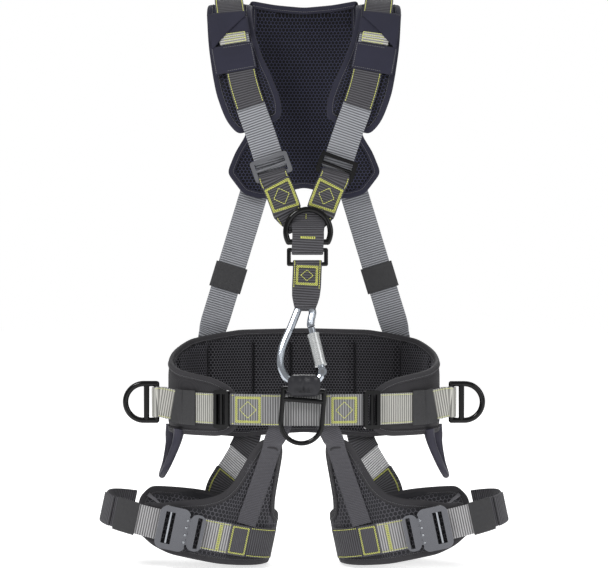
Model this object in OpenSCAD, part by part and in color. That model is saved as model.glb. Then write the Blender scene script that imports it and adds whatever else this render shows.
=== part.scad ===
// Full-body work-positioning harness: waist belt, leg loops, shoulder yoke,
// sternal and ventral attachments joined by a steel connector.
// Origin: centre of the waist opening at belt height. +X wearer's left,
// -Y the wearer's front, +Z up. Millimetres. Left and right in names are as
// seen from the front, so left is -X.

/* [Webbing] */
// Width of the load-bearing webbing
web_w = 45; // [43:1:46]
// Thickness of one layer of webbing
web_t = 2.5; // [2:0.1:2.6]
// Clear gap left between neighbouring layers
gap = 0.6; // [0.5:0.1:0.8]

/* [Waist belt] */
// Half of the belt pad's outside size from side to side
belt_a = 210; // [205:1:215]
// Half of the belt pad's outside size from front to back
belt_b = 137; // [134:1:140]
// Thickness of the belt pad
belt_pad_t = 13; // [10:1:14]
// Height of the belt webbing's centre line
belt_web_z = -12; // [-13:1:-11]
// Angle from the front at which the belt pad ends
belt_end = 27.5; // [27:0.5:29]

/* [Leg loops] */
// Half of a leg loop's outside size from side to side
leg_a = 131; // [128:1:133]
// Half of a leg loop's outside size from front to back
leg_b = 74; // [72:1:76]
// Tilt of a leg loop, outer side up
leg_tilt = 12; // [11:0.5:13]
// Thickness of the leg pad
leg_pad_t = 10; // [8:1:11]

/* [Yoke] */
// Thickness of the back pad
back_pad_t = 10; // [8:1:11]
// Thickness of a shoulder pad
shoulder_t = 12; // [10:1:12]
// Half of a shoulder pad's width
shoulder_w = 34; // [32:1:34]

/* [Metal parts] */
// Wire radius of the large D rings
ring_r = 4.2; // [4:0.1:4.3]
// Wire radius of the sternal link
link_r = 3; // [2.8:0.1:3.1]
// Radius of the connector's bar
bar_r = 5.5; // [5.2:0.1:5.6]
// Running clearance of bars and pins
run = 0.3; // [0.25:0.05:0.4]

/* [Hidden] */
$fn = 48;
soft_steps = 5;
web_off = gap + web_t / 2;

// ---------------------------------------------------------------- vectors

function unit(v) = v / norm(v);
function at(list, i) = is_list(list) ? list[i] : list;

// Catmull-Rom point at fraction t of span i of the points p.
function spline(p, i, t) =
    let (a = p[max(i - 1, 0)], b = p[i], c = p[i + 1],
         d = p[min(i + 2, len(p) - 1)])
    0.5 * (2 * b + (c - a) * t + (2 * a - 5 * b + 4 * c - d) * t * t
           + (3 * b - 3 * c + d - a) * t * t * t);

function smooth(p, n = soft_steps) =
    [for (i = [0 : len(p) - 2], k = [0 : n - 1]) spline(p, i, k / n),
     p[len(p) - 1]];

// Straight spans of p, each cut into n equal steps.
function refine(p, n) =
    [for (i = [0 : len(p) - 2], k = [0 : n - 1])
        p[i] + (p[i + 1] - p[i]) * k / n,
     p[len(p) - 1]];

function tangents(p) =
    [for (i = [0 : len(p) - 1])
        unit(p[min(i + 1, len(p) - 1)] - p[max(i - 1, 0)])];

// Arc of points about the X direction through centre c, radius r; angle 0
// points to +Y and 90 to +Z.
function arc_yz(c, r, from, to, n) =
    [for (k = [0 : n])
        let (a = from + (to - from) * k / n)
        c + [0, r * cos(a), r * sin(a)]];

// ------------------------------------------------------------ soft solids

// Closed solid between two equal grids of points.
module skin(inner, outer) {
    rows = len(inner);
    cols = len(inner[0]);
    half = rows * cols;
    lift = outer[0][0] - inner[0][0];
    turn = cross(outer[0][1] - outer[0][0], outer[1][0] - outer[0][0]);
    flip = turn * lift < 0;
    function quad(a, b, c, d) =
        flip ? [[a, b, c], [a, c, d]] : [[d, c, b], [d, b, a]];
    points = concat([for (r = inner) each r], [for (r = outer) each r]);
    faces = [
        for (i = [0 : rows - 2], j = [0 : cols - 2])
            let (k = i * cols + j)
            each quad(half + k, half + k + 1,
                      half + k + cols + 1, half + k + cols),
        for (i = [0 : rows - 2], j = [0 : cols - 2])
            let (k = i * cols + j)
            each quad(k + cols, k + cols + 1, k + 1, k),
        for (i = [0 : rows - 2])
            let (k = i * cols)
            each quad(half + k, half + k + cols, k + cols, k),
        for (i = [0 : rows - 2])
            let (k = i * cols + cols - 1)
            each quad(k, k + cols, half + k + cols, half + k),
        for (j = [0 : cols - 2])
            each quad(j, j + 1, half + j + 1, half + j),
        for (j = [0 : cols - 2])
            let (k = (rows - 1) * cols + j)
            each quad(half + k, half + k + 1, k + 1, k)
    ];
    polyhedron(points = points, faces = faces);
}

// Flat band along a path. hint is the side that its face looks to, one
// vector or one for each point; width may be one number for each point.
module band(path, hint, width = web_w, thick = web_t) {
    t = tangents(path);
    n = len(path) - 1;
    side = [for (i = [0 : n])
        unit(cross(t[i], is_list(hint[0]) ? hint[i] : hint))];
    up = [for (i = [0 : n]) cross(side[i], t[i])];
    inner = [for (i = [0 : n])
        [for (s = [-1, 1])
            path[i] + side[i] * s * at(width, i) / 2 - up[i] * thick / 2]];
    outer = [for (i = [0 : n])
        [for (j = [0, 1]) inner[i][j] + up[i] * thick]];
    skin(inner, outer);
}

// Round tube along a path, in flat-sided facets.
module tube(path, r, ref, sides = 12) {
    t = tangents(path);
    n = len(path);
    points = [for (i = [0 : n - 1])
        let (u = unit(cross(t[i], ref)), v = cross(t[i], u))
        for (k = [0 : sides - 1])
            path[i] + r * (u * cos(360 * k / sides) + v * sin(360 * k / sides))];
    walls = [for (i = [0 : n - 2], k = [0 : sides - 1])
        let (a = i * sides + k, b = i * sides + (k + 1) % sides)
        each [[a, a + sides, b + sides], [a, b + sides, b]]];
    start = [for (k = [0 : sides - 1]) k];
    end = [for (k = [sides - 1 : -1 : 0]) (n - 1) * sides + k];
    polyhedron(points = points, faces = concat(walls, [start, end]));
}

// --------------------------------------------------------- exact helpers

module rod(p, q, r) {
    v = q - p;
    translate(p)
        rotate([0, acos(v.z / norm(v)), atan2(v.y, v.x)])
            cylinder(h = norm(v), r = r);
}

// Rounded rectangle from two squares and four circles.
module round_rect(w, h, r) {
    square([w - 2 * r, h], center = true);
    square([w, h - 2 * r], center = true);
    for (x = [-1, 1], y = [-1, 1])
        translate([x * (w / 2 - r), y * (h / 2 - r)]) circle(r = r);
}

// Plate in the XZ plane, thickness along Y, centred.
module upright(t) {
    rotate([90, 0, 0]) linear_extrude(height = t, center = true) children();
}

// D ring hanging from a bar along X at the origin, with an arc of radius
// arc_r about a centre drop below the bar. The bar is a chord of the arc, or
// straight arms lead down to it. cross_at places an optional cross bar.
module d_ring(arc_r, drop, cross_at, r, chord = false) {
    rise = chord ? asin(drop / arc_r) : 0;
    half = arc_r * cos(rise);
    rod([-half, 0, 0], [half, 0, 0], r);
    for (s = [-1, 1]) {
        translate([s * half, 0, 0]) sphere(r = r);
        if (!chord) rod([s * half, 0, 0], [s * half, 0, -drop], r);
    }
    translate([0, 0, -drop]) rotate([-90, -rise, 0])
        rotate_extrude(angle = 180 + 2 * rise)
            translate([arc_r, 0]) circle(r = r);
    if (cross_at > 0)
        rod([-half, 0, -cross_at], [half, 0, -cross_at], r);
}

// ------------------------------------------------------------ waist belt

// Point of the belt's outline, off outside the pad's outer face; angle 0
// is the front, 90 the +X side.
function belt_normal(q) = unit([sin(q) / belt_a, -cos(q) / belt_b, 0]);
function belt_point(q, off = 0) =
    [belt_a * sin(q), -belt_b * cos(q), 0] + off * belt_normal(q);

// Top and bottom edge heights of the belt pad over its half angle.
belt_top = [[27.5, 4], [29, 12], [33, 23], [40, 32], [50, 37], [65, 42],
            [90, 57], [120, 84], [150, 97], [180, 99]];
belt_bottom = [[27.5, -33], [29, -42], [32, -49], [38, -53], [60, -54],
               [90, -55], [120, -64], [150, -75], [180, -69]];
function half_angle(q) = q > 180 ? 360 - q : q;

module belt_pad() {
    steps = 72;
    span = 360 - 2 * belt_end;
    angles = [for (i = [0 : steps])
        let (f = i / steps, e = f < 0.5 ? 2 * f * f : 1 - 2 * (1 - f) * (1 - f))
        belt_end + span * (0.7 * f + 0.3 * e)];
    function edge(q, off) =
        let (h = half_angle(q))
        [belt_point(q, off) + [0, 0, lookup(h, belt_bottom)],
         belt_point(q, off) + [0, 0, lookup(h, belt_top)]];
    color("#37363a")
        skin([for (q = angles) edge(q, -belt_pad_t)],
             [for (q = angles) edge(q, 0)]);
}

function belt_run(from, to, n, off = web_off) =
    [for (i = [0 : n])
        belt_point(from + (to - from) * i / n, off) + [0, 0, belt_web_z]];
function belt_hints(from, to, n) =
    [for (i = [0 : n]) belt_normal(from + (to - from) * i / n)];

// The adjusters' angles from the front, and the angle that each leaves free
// on either side of its bar.
left_adjuster = 34;
right_adjuster = 27.3;
adjuster_half = 3.6;
adjuster_off = 6.5;

module belt_webbing_front() {
    from = -left_adjuster + adjuster_half;
    to = right_adjuster - adjuster_half;
    color("#b9b8b4")
        band(belt_run(from, to, 20, web_off + 0.6), belt_hints(from, to, 20));
}

// The side ring's hinge bar, image of the right-hand one by mirroring.
side_bar = [-220, -58, -6];
side_wrap_r = ring_r + 0.5 + web_t / 2;

// The side webbing leaves the pad at this angle, for a point beside the bar.
side_leave = -58;
side_lead = side_bar + [8, -side_wrap_r, 0];

// Side webbing from the adjuster along the pad and round the ring's bar.
module belt_webbing_side(adjuster) {
    from = -adjuster - adjuster_half;
    to = side_leave;
    on_pad = belt_run(from, to, 8);
    lead = side_lead;
    wrap = [for (k = [0 : 8])
        let (a = -90 - 180 * k / 8)
        side_bar + side_wrap_r * [cos(a), sin(a), 0]];
    tail = side_bar + [14, side_wrap_r, -0.5];
    path = concat(on_pad, [lead], wrap, [tail]);
    hints = concat(belt_hints(from, to, 8), [[0, -1, 0]],
        [for (k = [0 : 8])
            let (a = -90 - 180 * k / 8) [cos(a), sin(a), 0]], [[0, 1, 0]]);
    color("#b9b8b4") band(path, hints);
}

module belt_webbing_left() {
    belt_webbing_side(left_adjuster);
}

module belt_webbing_right() {
    mirror([1, 0, 0]) belt_webbing_side(right_adjuster);
}

module belt_webbing_rear() {
    from = 80;
    to = 280;
    color("#5a5a5c")
        band(belt_run(from, to, 40), belt_hints(from, to, 40));
}

// Frame of a webbing adjuster: bars along X, webbing runs along Z.
module adjuster_frame(w, h, t, slot_h) {
    difference() {
        upright(t) difference() {
            round_rect(w, h, 4);
            square([w - 12, slot_h], center = true);
        }
        cube([w - 6, 5 + 2 * run, slot_h], center = true);
    }
}

module adjuster_bar(w) {
    rod([-w / 2 + 3.4, 0, 0], [w / 2 - 3.4, 0, 0], 2.4);
}

module on_belt(q) {
    n = belt_normal(q);
    translate(belt_point(q, adjuster_off) + [0, 0, belt_web_z])
        rotate([0, 0, atan2(n.y, n.x) + 90]) rotate([0, 90, 0]) children();
}

module belt_adjuster(q) {
    color("#151517") on_belt(q) adjuster_frame(56, 24, 6.4, 14);
}

module belt_adjuster_bar(q) {
    color("#151517") on_belt(q) adjuster_bar(56);
}

// Elastic keeper over the side webbing, partly beyond where it leaves the pad.
module belt_keeper_left() {
    from = -48.5;
    off = web_off + web_t + gap;
    leave = belt_point(side_leave, web_off) + [0, 0, belt_web_z];
    out = unit([-0.43, -0.81, 0]);
    beyond = leave + 0.4 * (side_lead - leave) + (off - web_off + 2 * gap) * out;
    color("#404040")
        band(concat(belt_run(from, side_leave, 5, off), [beyond]),
             concat(belt_hints(from, side_leave, 5), [out]),
             web_w + 6, 1.6);
}

module belt_keepers() {
    belt_keeper_left();
    mirror([1, 0, 0]) belt_keeper_left();
}

module side_ring_left() {
    color("#151517") translate(side_bar) rotate([0, 90, 0])
        d_ring(27.3, 19, 15, ring_r);
}

module side_ring_right() {
    mirror([1, 0, 0]) side_ring_left();
}

// Moulded gear loop, hanging from the lower edge of the belt.
module gear_loop_left() {
    path = smooth([[-188, -60, -59], [-193, -60, -75], [-204, -52, -100],
                   [-213, -34, -116], [-215, -18, -117], [-211, 2, -101],
                   [-207, 12, -76], [-206, 13, -60]], 3);
    color("#302f3c") tube(path, 5, [1, 0, 0], 10);
}

module gear_loop_right() {
    mirror([1, 0, 0]) gear_loop_left();
}

// ------------------------------------------------------------- back yoke

// Depth of the back pad's middle plane over height.
back_depth = [[290, 108], [400, 107], [480, 101], [540, 86], [566, 74],
              [585, 60], [600, 42], [610, 28]];
// Half width of the back pad over height.
back_width = [[300, 121], [350, 121], [380, 109], [408, 92], [440, 97],
              [480, 116], [520, 136], [560, 148], [610, 150]];
// Lower and upper edge over the fraction of the half width.
back_low = [[0, 324], [0.25, 317], [0.55, 305], [0.8, 313], [1, 345]];
back_high = [[0, 600], [0.3, 603], [0.5, 608], [0.525, 558], [1, 548]];

function back_point(u, v, off) =
    let (lo = lookup(abs(u), back_low), hi = lookup(abs(u), back_high),
         z = lo + (hi - lo) * v, x = u * lookup(z, back_width))
    [x, lookup(z, back_depth) - 0.0010 * x * x + off, z];

module back_pad() {
    us = [-1, -0.9, -0.78, -0.64, -0.525, -0.5, -0.36, -0.24, -0.12, 0,
          0.12, 0.24, 0.36, 0.5, 0.525, 0.64, 0.78, 0.9, 1];
    rows = 18;
    function grid(off) =
        [for (k = [0 : rows]) [for (u = us) back_point(u, k / rows, off)]];
    color("#1f1f2e") skin(grid(-back_pad_t / 2), grid(back_pad_t / 2));
}

// Shoulder pad's middle line, from the back pad over to the chest.
shoulder_path = [[-113, 58, 572], [-113, 47, 585], [-113, 28, 594],
                 [-113, 2, 594], [-113, -24, 579], [-109, -50, 545],
                 [-101, -66, 505], [-89, -76, 465], [-74, -82, 425],
                 [-65, -85, 402]];
// How much wider the pad is at each height than at the shoulder.
shoulder_grow = [[395, 14], [425, 20], [465, 18], [505, 8], [545, 2], [560, 0]];
// Outward direction of a run that passes over the shoulder.
function over_hints(p) = [for (t = tangents(p)) [0, t.z, -t.y]];

module shoulder_pad_left() {
    path = smooth(shoulder_path, 3);
    n = len(path) - 1;
    widths = [for (i = [0 : n])
        (2 * shoulder_w + (path[i].y < 0 ? lookup(path[i].z, shoulder_grow) : 0))
        * (i > n - 5 ? 1 - 0.035 * pow(i - n + 5, 1.7) : 1)];
    color("#262533") band(path, over_hints(path), widths, shoulder_t);
}

module shoulder_pad_right() {
    mirror([1, 0, 0]) shoulder_pad_left();
}

// The chest strap runs from the dorsal plate up the back, over the
// shoulder pad and down to the adjuster.
chest_path = [[-40, 111.4, 448], [-58, 110, 480], [-80, 103.5, 515],
              [-100, 89, 550], [-112, 70, 580], [-115, 51, 598],
              [-116, 28, 603.5], [-115, -2, 603], [-112, -31, 586],
              [-106, -58, 550], [-98, -75, 508], [-89, -85, 465],
              [-77, -92, 427], [-65, -96, 394], [-55, -98.5, 364],
              [-47, -100.5, 337]];

module chest_strap_left() {
    path = smooth(chest_path, 4);
    color("#8f9094") band(path, over_hints(path), web_w - 2);
}

module chest_strap_right() {
    mirror([1, 0, 0]) chest_strap_left();
}

// Shoulder adjusters sit on the chest straps, tilted with them.
adjuster_at = [-48, -106.5, 341];
chest_lean = 19.6;

module at_shoulder_adjuster() {
    translate(adjuster_at) rotate([0, -chest_lean, 0]) rotate([4, 0, 0])
        children();
}

module shoulder_adjuster_left() {
    color("#77787c") at_shoulder_adjuster() adjuster_frame(57, 32, 6.4, 21);
}

module shoulder_adjuster_right() {
    color("#151517") mirror([1, 0, 0]) at_shoulder_adjuster()
        adjuster_frame(57, 32, 6.4, 21);
}

module shoulder_adjuster_bar_left() {
    color("#77787c") at_shoulder_adjuster() adjuster_bar(57);
}

module shoulder_adjuster_bar_right() {
    color("#151517") mirror([1, 0, 0]) at_shoulder_adjuster()
        adjuster_bar(57);
}

// Sewn end below the adjuster. It narrows behind the sternal fold, where
// it is stitched.
module chest_loop_left() {
    path = [[-41.5, -108.5, 321], [-36, -109.5, 309], [-28, -110.3, 286],
            [-24.5, -110, 276], [-17, -108.6, 262], [-11, -107.6, 247]];
    full = web_w - 2;
    widths = smooth([full, full, full, full, 30, 15], 3);
    color("#5a5a5c") band(smooth(path, 3), [0, -1, 0], widths, 4);
}

module chest_loop_right() {
    mirror([1, 0, 0]) chest_loop_left();
}

// --------------------------------------------------------- dorsal point

dorsal_bar = [0, 131, 446];

module dorsal_plate() {
    color("#202024") translate([0, 120, 440]) upright(5)
        difference() {
            round_rect(76, 56, 10);
            for (s = [-1, 1])
                translate([0, s * 16]) square([50, 4], center = true);
        }
    color("#202024") translate(dorsal_bar) rotate([0, 90, 0])
        difference() {
            translate([0, -3.6]) cylinder(h = 30, r = 8, center = true);
            cylinder(h = 40, r = ring_r + run, center = true);
            translate([0, -11.9, 0]) cube([30, 6, 50], center = true);
        }
}

module dorsal_ring() {
    color("#151517") translate(dorsal_bar)
        d_ring(30, 30, 0, ring_r);
}

// ------------------------------------------------------------ back straps

back_strap_top = [-73.87, 116.14, 336.47];
back_strap_low = [-146, 108, 98];
back_dir = unit(back_strap_low - back_strap_top);
// Steps in each span, so that the strap twists evenly on to the belt.
twist_steps = 6;

module back_strap_left() {
    on_belt = [for (z = [78, 50, 18])
        belt_point(-135.3, web_off + 0.4) + [-(90 - z) * 0.08, 0, z]];
    straight = back_strap_low - back_strap_top;
    path = concat([back_strap_top, back_strap_top + 0.86 * straight,
                   back_strap_low], on_belt);
    hints = [[0, 1, 0], [0, 1, 0], [-0.35, 0.94, 0], belt_normal(-135.3),
             belt_normal(-135.8), belt_normal(-136.3)];
    color("#8f9094")
        band(refine(path, twist_steps), refine(hints, twist_steps));
}

module back_strap_right() {
    mirror([1, 0, 0]) back_strap_left();
}

// Sleeve that holds the strap's spare end, free to slide on the strap.
back_keeper_at = back_strap_top + 163 * back_dir;

module back_keeper_left() {
    lean = atan2(back_dir.x, -back_dir.z);
    color("#302f33") translate(back_keeper_at)
        rotate([asin(back_dir.y), -lean, 0]) difference() {
            cube([web_w + 7, 8.4, 42], center = true);
            cube([web_w + 3.4, 5.6, 50], center = true);
        }
}

module back_keeper_right() {
    mirror([1, 0, 0]) back_keeper_left();
}

// ---------------------------------------------------------- sternal point

sternal_bar = [6, -120, 231];
link_bar = [5, -119.5, 219.5];
link_low = [5, -119.5, 199];

module sternal_ring() {
    color("#151517") translate(sternal_bar) rotate([0, 180, 0])
        d_ring(32.3, 15, 0, ring_r, true);
}

module sternal_link() {
    half = 27;
    color("#2a2a2d") {
        rod(link_bar - [half, 0, 0], link_bar + [half, 0, 0], link_r);
        rod(link_low - [half, 0, 0], link_low + [half, 0, 0], link_r);
        for (s = [-1, 1]) {
            rod(link_bar + [s * half, 0, 0], link_low + [s * half, 0, 0],
                link_r);
            translate(link_bar + [s * half, 0, 0]) sphere(r = link_r);
            translate(link_low + [s * half, 0, 0]) sphere(r = link_r);
        }
    }
}

// Webbing that folds round the sternal ring's bar and the link's bar. Its
// front layer passes through the ring, behind the ring's arc.
module sternal_fold() {
    r = ring_r + 0.6 + web_t / 2;
    front = [6, sternal_bar.y, 0];
    through = [[0, -r, 238], [0, -r + 1, 246], [0, -1.5, 254],
               [0, 4.4, 262], [0, 6.2, 269], [0, 6.3, 280]];
    path = concat(
        [front + [0, r + 0.2, 250], front + [0, r, 240]],
        arc_yz(link_bar, r, 0, -180, 8),
        [for (p = through) front + p]);
    hints = concat([[0, 1, 0], [0, 1, 0]],
        [for (k = [0 : 8]) [0, cos(-180 * k / 8), sin(-180 * k / 8)]],
        [for (p = through) [0, -1, 0]]);
    widths = concat([for (k = [0 : 12]) 40], [42, 42, 41, 41]);
    color("#5a5a5c") band(path, hints, widths);
}

// Strap from the link down to the connector, one loop round both.
connector_top = [2, -121.1, 140.4];

module sternal_strap() {
    r_link = link_r + 0.5 + web_t / 2;
    r_bow = bar_r + 1.9 + web_t / 2;
    path = concat(
        [[4.6, link_low.y + r_link, 186]],
        arc_yz(link_low, r_link, 0, 180, 8),
        [[4.4, -125.2, 184], [3.6, -128.4, 166], [2.6, -130, 152]],
        arc_yz(connector_top, r_bow, -180, 0, 8),
        [[2.6, -112.9, 152], [3.6, -113.8, 166], [4.4, -114.7, 178]]);
    hints = concat([[0, 1, 0]],
        [for (k = [0 : 8]) [0, cos(180 * k / 8), sin(180 * k / 8)]],
        [for (k = [0 : 2]) [0, -1, 0]],
        [for (k = [0 : 8]) [0, -cos(180 * k / 8), -sin(180 * k / 8)]],
        [for (k = [0 : 2]) [0, 1, 0]]);
    widths = concat([for (k = [0 : 10]) 42], [40, 24],
        [12, 9, 7, 6, 6, 6, 7, 9, 12], [24, 40, 42]);
    color("#5a5a5c") band(path, hints, widths);
}

// -------------------------------------------------------------- connector

// The connector lies in a plane that leans forward towards its lower end.
connector_lean = 14.8;
gate_hinge = [26.5, 0, -97];
gate_nose = [10.5, 0, -30];
gate_dir = unit(gate_nose - gate_hinge);
gate_len = 67.2;

module connector_frame() {
    translate([0, -122, 137]) rotate([-connector_lean, 0, 0]) children();
}

module along_gate() {
    translate(gate_hinge)
        rotate([0, atan2(gate_dir.x, gate_dir.z), 0]) children();
}

module carabiner_body() {
    route = [[10.5, -30], [9.6, -26], [10.6, -18], [12.4, -9], [9.5, -0.5],
             [1.5, 3.5], [-6.5, 0.5], [-10.5, -9], [-19.5, -32],
             [-30, -57], [-34, -76], [-33.2, -90], [-27, -103],
             [-17, -110.5], [-3, -113.5], [11, -112.3], [19, -108.5],
             [24.4, -101.4]];
    path = smooth([for (p = route) [p.x, 0, p.y]], 4);
    color("#c4c8cc") connector_frame() {
        difference() {
            union() {
                tube(path, bar_r, [0, 1, 0]);
                translate(gate_hinge) rotate([90, 0, 0])
                    cylinder(h = 11, r = 6.2, center = true);
            }
            translate(gate_hinge) rotate([90, 0, 0])
                cylinder(h = 20, r = 2.1, center = true);
            translate(gate_hinge + [0, 0, 1.6])
                cube([16, 4.6, 15.4], center = true);
        }
    }
}

module carabiner_gate() {
    color("#c4c8cc") connector_frame() along_gate() {
        difference() {
            union() {
                rotate([90, 0, 0]) cylinder(h = 4, r = 5, center = true);
                translate([0, 0, 2.6])
                    cube([8, 4, 9], center = true);
                translate([0, 0, 6.6]) cylinder(h = gate_len - 6.6, r = 4.9);
            }
            rotate([90, 0, 0]) cylinder(h = 8, r = 2.15, center = true);
            translate([0, 0, 14]) cylinder(h = 20, r = 2.4);
        }
    }
}

module carabiner_sleeve() {
    color("#d8dadc") connector_frame() along_gate() translate([0, 0, 10])
        difference() {
            union() {
                cylinder(h = 48, r = 8.2);
                for (z = [0, 45]) translate([0, 0, z])
                    cylinder(h = 3, r = 8.8);
            }
            translate([0, 0, -1]) cylinder(h = 50, r = 4.98);
        }
}

module carabiner_pin() {
    color("#a8abb0") connector_frame() translate(gate_hinge)
        rotate([90, 0, 0]) {
            cylinder(h = 12, r = 2.05, center = true);
            for (s = [-1, 1]) translate([0, 0, s * 6.2])
                cylinder(h = 1, r = 3, center = true);
        }
}

// Coil spring in the gate's bore, as a closed-wound tube.
module gate_spring() {
    color("#9a9da2") connector_frame() along_gate() translate([0, 0, 14.3])
        difference() {
            cylinder(h = 19.4, r = 2.1);
            translate([0, 0, -1]) cylinder(h = 22, r = 1.2);
        }
}

// ---------------------------------------------------------- ventral point

ventral_bar = [0, -151, 18];
ventral_turn = 4.5;
connector_low = [0, -151, 30.5];

// Black protective loop round the connector's lower bow and the ring.
module ventral_loop() {
    inside = 6.6;
    wall = 3;
    color("#1b1b1e") translate([0, ventral_bar.y, 0])
        rotate([90, 0, 90]) linear_extrude(height = 30, center = true)
            difference() {
                stadium(inside + wall);
                stadium(inside);
            }
}

module stadium(r) {
    translate([0, connector_low.z]) circle(r = r);
    translate([0, ventral_bar.z]) circle(r = r);
    translate([-r, ventral_bar.z])
        square([2 * r, connector_low.z - ventral_bar.z]);
}

// Webbing that ties the loop to the risers, behind the belt webbing.
module ventral_bridge() {
    path = [[0, -133.6, -33], [0, -133.6, 8], [0, -134.4, 13],
            [0, -138.6, 18], [0, -139.6, 24], [0, -139.6, 34]];
    color("#2c2c30") band(path, [0, 1, 0]);
}

module ventral_ring() {
    color("#151517") translate(ventral_bar) rotate([0, ventral_turn, 0])
        d_ring(29.5, 47, 14.8, 3.5);
}

// --------------------------------------------------------------- leg loop

// Leg loops are drawn for the wearer's right, in a frame at the loop's
// centre: x to the inner thigh, -y the front. Angle 0 is the front and 90
// the inner thigh.
leg_at = [-173, 0, -195];
leg_power = 2.4;

function soft_pow(v) = sign(v) * pow(abs(v), 2 / leg_power);
function leg_outline(q) = [leg_a * soft_pow(sin(q)), -leg_b * soft_pow(cos(q)), 0];
function leg_normal(q) =
    let (p = leg_outline(q - 1), r = leg_outline(q + 1), t = unit(r - p))
    [t.y, -t.x, 0];
// The front leans out towards its upper edge.
function leg_lean(q, z) =
    z > web_w / 2
        ? 0.0033 * pow(z - web_w / 2, 2) * min(1, max(0, (95 - abs(q)) / 25))
        : 0;
function leg_point(q, z, off) =
    leg_outline(q) + off * leg_normal(q) + [0, -leg_lean(q, z), z];

leg_top = [[-60, 16], [-48, 20], [-17, 30], [-9, 36], [7, 50], [17, 62],
           [23, 80], [28, 110], [33, 140], [37, 156], [42, 162],
           [53, 162], [58, 156], [62, 140], [65, 70], [70, 48], [90, 42],
           [130, 46], [180, 43], [212, 34], [222, 10]];
leg_bottom = [[-60, 0], [-48, -8], [-26, -24], [-17, -34], [-5, -41],
              [20, -41], [50, -36], [75, -33], [130, -38], [180, -40],
              [212, -32], [222, -8]];

module leg_frame() {
    translate(leg_at) rotate([0, leg_tilt, 0]) children();
}

module leg_pad_left() {
    from = -30;
    to = 220;
    steps = 66;
    cols = 6;
    function row(q, off) =
        let (lo = lookup(q, leg_bottom), hi = lookup(q, leg_top))
        [for (k = [0 : cols]) leg_point(q, lo + (hi - lo) * k / cols, off)];
    angles = [for (i = [0 : steps]) from + (to - from) * i / steps];
    color("#2b2b33") leg_frame()
        skin([for (q = angles) row(q, -leg_pad_t)],
             [for (q = angles) row(q, 0)]);
}

module leg_pad_right() {
    mirror([1, 0, 0]) leg_pad_left();
}

function leg_run(from, to, n, off) =
    [for (i = [0 : n]) leg_point(from + (to - from) * i / n, 0, off)];
function leg_hints(from, to, n) =
    [for (i = [0 : n]) leg_normal(from + (to - from) * i / n)];

module leg_strap(from, to, n, off) {
    leg_frame() band(leg_run(from, to, n, off), leg_hints(from, to, n));
}

module leg_strap_inner_left() {
    color("#8f9094") leg_strap(72, 5.5, 14, web_off);
}

module leg_strap_inner_right() {
    mirror([1, 0, 0]) leg_strap_inner_left();
}

module leg_strap_outer_left() {
    color("#8f9094") leg_strap(-15.5, -138, 24, web_off + 1.2);
}

module leg_strap_outer_right() {
    mirror([1, 0, 0]) leg_strap_outer_left();
}

module leg_keeper_left() {
    color("#404040") leg_frame()
        band(leg_run(-31, -52, 8, web_off + 1.2 + web_t + gap),
             leg_hints(-31, -52, 8), web_w + 4, 1.6);
}

module leg_keepers() {
    leg_keeper_left();
    mirror([1, 0, 0]) leg_keeper_left();
}

// Buckle plates stand just in front of the pad. Their x places:
buckle_x = -21;
tongue_x = 14;
buckle_y = -leg_b - 9.2;

module leg_buckle_left() {
    bar_x = -7;
    scallops = 5;
    color("#6b6e73") leg_frame() translate([buckle_x, buckle_y, 0])
        difference() {
            upright(9) difference() {
                round_rect(46, 64, 11);
                translate([bar_x, 0]) square([14, 47], center = true);
                for (k = [0 : scallops - 1])
                    translate([26.5, (k - 2) * 11]) circle(r = 5);
            }
            translate([bar_x, 0, 0]) cube([13, 5 + 2 * run, 53], center = true);
            translate([17, 0, 0]) cube([24, 4.2, 48], center = true);
        }
}

module leg_buckle_right() {
    mirror([1, 0, 0]) leg_buckle_left();
}

module leg_buckle_bar_left() {
    color("#8d9096") leg_frame()
        translate([buckle_x - 7, buckle_y, 0])
            rod([0, 0, -26], [0, 0, 26], 2.4);
}

module leg_buckle_bar_right() {
    mirror([1, 0, 0]) leg_buckle_bar_left();
}

// Tongue: a slotted plate outside and a blade inside the buckle.
module leg_tongue_left() {
    color("#6b6e73") leg_frame() translate([tongue_x, buckle_y, 0])
        upright(3.4) difference() {
            union() {
                round_rect(22, 54, 9);
                translate([-18, 0]) square([21, 40], center = true);
            }
            translate([2.5, 0]) square([6.5, 46], center = true);
        }
}

module leg_tongue_right() {
    mirror([1, 0, 0]) leg_tongue_left();
}

// Front riser: from the ventral bridge down the pad to the leg strap.
function to_world(p) =
    leg_at + [p.x * cos(leg_tilt) + p.z * sin(leg_tilt), p.y,
              -p.x * sin(leg_tilt) + p.z * cos(leg_tilt)];

module front_riser_left() {
    on_pad = [for (k = [0 : 7])
        let (f = k / 7, z = 150 - 125 * f, q = 43 - 8 * f)
        to_world(leg_point(q, z, 4.2 - 1.4 * f))];
    path = concat([[-27, -130.3, -14], [-33, -130.2, -34],
                   [-42, -127, -54]], on_pad);
    hints = concat([[0, -1, 0], [0, -1, 0], [0.1, -1, -0.1]],
        [for (k = [0 : 7])
            let (f = k / 7, n = leg_normal(43 - 8 * f))
            [n.x * 0.8, n.y, 0.3 * (f - 1)]]);
    color("#4a4a50") band(path, hints, 30);
}

module front_riser_right() {
    mirror([1, 0, 0]) front_riser_left();
}

module rear_riser_left() {
    path = smooth([[-88, 129.5, -37], [-89, 129.3, -62], [-94, 125.6, -84],
                   [-107, 110.6, -108], [-122, 93, -132],
                   [-133, 84, -152], [-138, 82.4, -176]], 3);
    color("#8f9094") band(path, [-0.3, 1, 0.2], web_w - 3);
}

module rear_riser_right() {
    mirror([1, 0, 0]) rear_riser_left();
}

// ------------------------------------------------------------------ parts

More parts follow.
